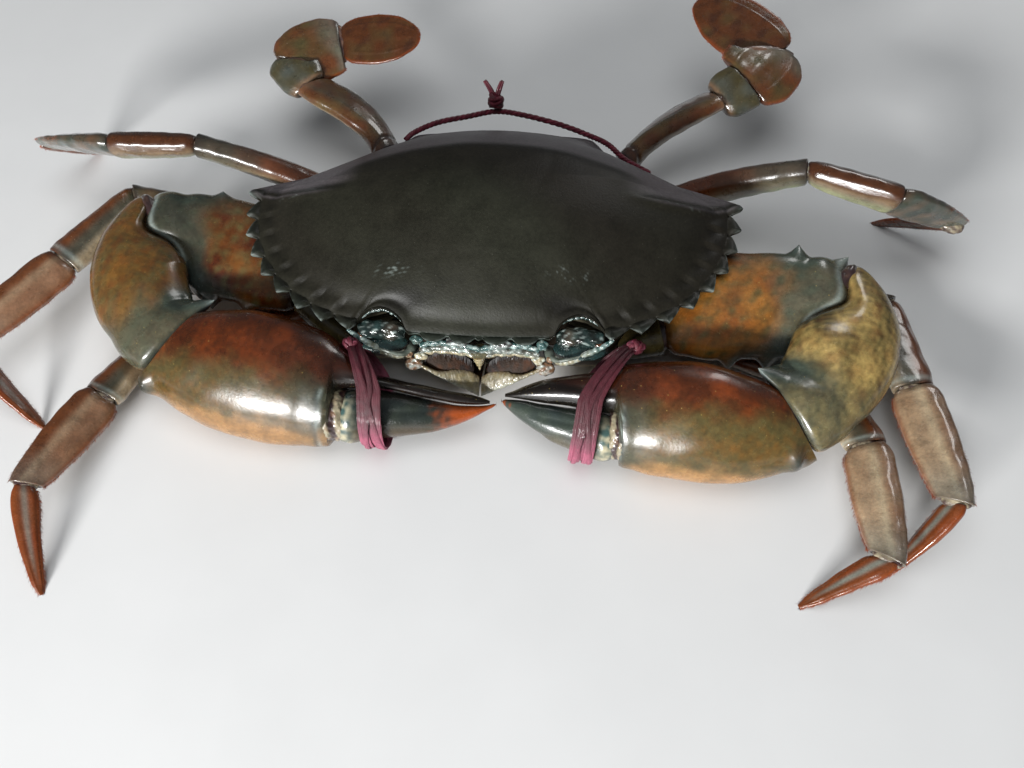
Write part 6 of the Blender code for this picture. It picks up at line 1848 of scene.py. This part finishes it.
class CRAB_OT_claws(bpy.types.Operator):
    """Build both claws with their joint skin"""
    bl_idname = "crab.claws"
    bl_label = "Claws"

    def execute(self, context):
        colours, sizes = colours_and_sizes(context)
        # Thick smooth shell, freshly wetted: reads as polished orange-brown to olive with fine golden dots
        shell = finish_material("wet_claw_shell", mottle=0.34, patch=6.0, fine=1.2, rough=0.26, wet=0.40,
                                film=0.09, grain=0.02, grain_size=0.8, speckle=("#a8924e", 1.7, 0.16),
                                soft=0.08)
        # Dense finger shell: reads as dark slate with broad soft highlights
        finger = finish_material("finger_shell", mottle=0.25, patch=5.0, fine=0.6, rough=0.26, wet=0.45,
                                 grain=0.05)
        # Soft folded skin of the claw's joints: reads as slick, dark and stained with ivory
        skin = finish_material("claw_joint_skin", mottle=0.3, patch=1.5, fine=0.4, rough=0.3, wet=1.0,
                               grain=0.08)
        for label, claw in CLAWS.items():
            make_arm(label, claw, colours, sizes, shell)
            make_hand(label, claw, colours, shell, finger)
            make_claw_joints(label, claw, colours, skin)
        return {"FINISHED"}


class CRAB_OT_legs(bpy.types.Operator):
    """Build the walking legs and the swimming legs with their fringes"""
    bl_idname = "crab.legs"
    bl_label = "Legs"

    def execute(self, context):
        colours, sizes = colours_and_sizes(context)
        finishes = limb_finishes()
        for name, leg in LEGS.items():
            make_leg(name, leg, colours, sizes, finishes)
        for name, leg in SWIMMERS.items():
            make_swimmer(name, leg, colours, sizes, finishes)
        return {"FINISHED"}


class CRAB_OT_ties(bpy.types.Operator):
    """Build the claw ties, the rear tie and its knot"""
    bl_idname = "crab.ties"
    bl_label = "Ties"

    def execute(self, context):
        colours, sizes = colours_and_sizes(context)
        # Split plastic raffia: reads as soft maroon ribbons with fine lengthwise ridges and little shine
        finish = finish_material("split_fibre", mottle=0.35, patch=2.0, fine=0.3, rough=0.55, wet=0.15,
                                 grain=0.08, grain_size=0.3)
        for label, claw in CLAWS.items():
            make_claw_tie(label, claw, colours, sizes, finish)
        make_rear_tie(colours, finish)
        return {"FINISHED"}


class CRAB_OT_stage(bpy.types.Operator):
    """Make the floor, the lights and the camera"""
    bl_idname = "crab.stage"
    bl_label = "Stage"

    def execute(self, context):
        make_stage()
        return {"FINISHED"}


class CRAB_PT_panel(bpy.types.Panel):
    """Buttons that build the crab's groups of pieces"""
    bl_label = "Mud crab"
    bl_idname = "CRAB_PT_panel"
    bl_space_type = "VIEW_3D"
    bl_region_type = "UI"
    bl_category = "Crab"

    def draw(self, context):
        for operator in OPERATORS:
            self.layout.operator(operator.bl_idname)


OPERATORS = (CRAB_OT_shell, CRAB_OT_face, CRAB_OT_claws, CRAB_OT_legs, CRAB_OT_ties, CRAB_OT_stage)
CLASSES = (CrabColours, CrabSizes, *OPERATORS, CRAB_PT_panel)


def register():
    """Register the classes and put the settings on the scene."""
    for item in CLASSES:
        bpy.utils.register_class(item)
    bpy.types.Scene.crab_colours = PointerProperty(type=CrabColours)
    bpy.types.Scene.crab_sizes = PointerProperty(type=CrabSizes)


def unregister():
    """Take the settings off the scene and unregister the classes."""
    del bpy.types.Scene.crab_sizes
    del bpy.types.Scene.crab_colours
    for item in reversed(CLASSES):
        bpy.utils.unregister_class(item)


def main():
    """Build everything: settings, shell, face, claws, legs, ties and stage."""
    register()
    bpy.ops.crab.shell()
    bpy.ops.crab.face()
    bpy.ops.crab.claws()
    bpy.ops.crab.legs()
    bpy.ops.crab.ties()
    bpy.ops.crab.stage()


if __name__ == "__main__":
    main()
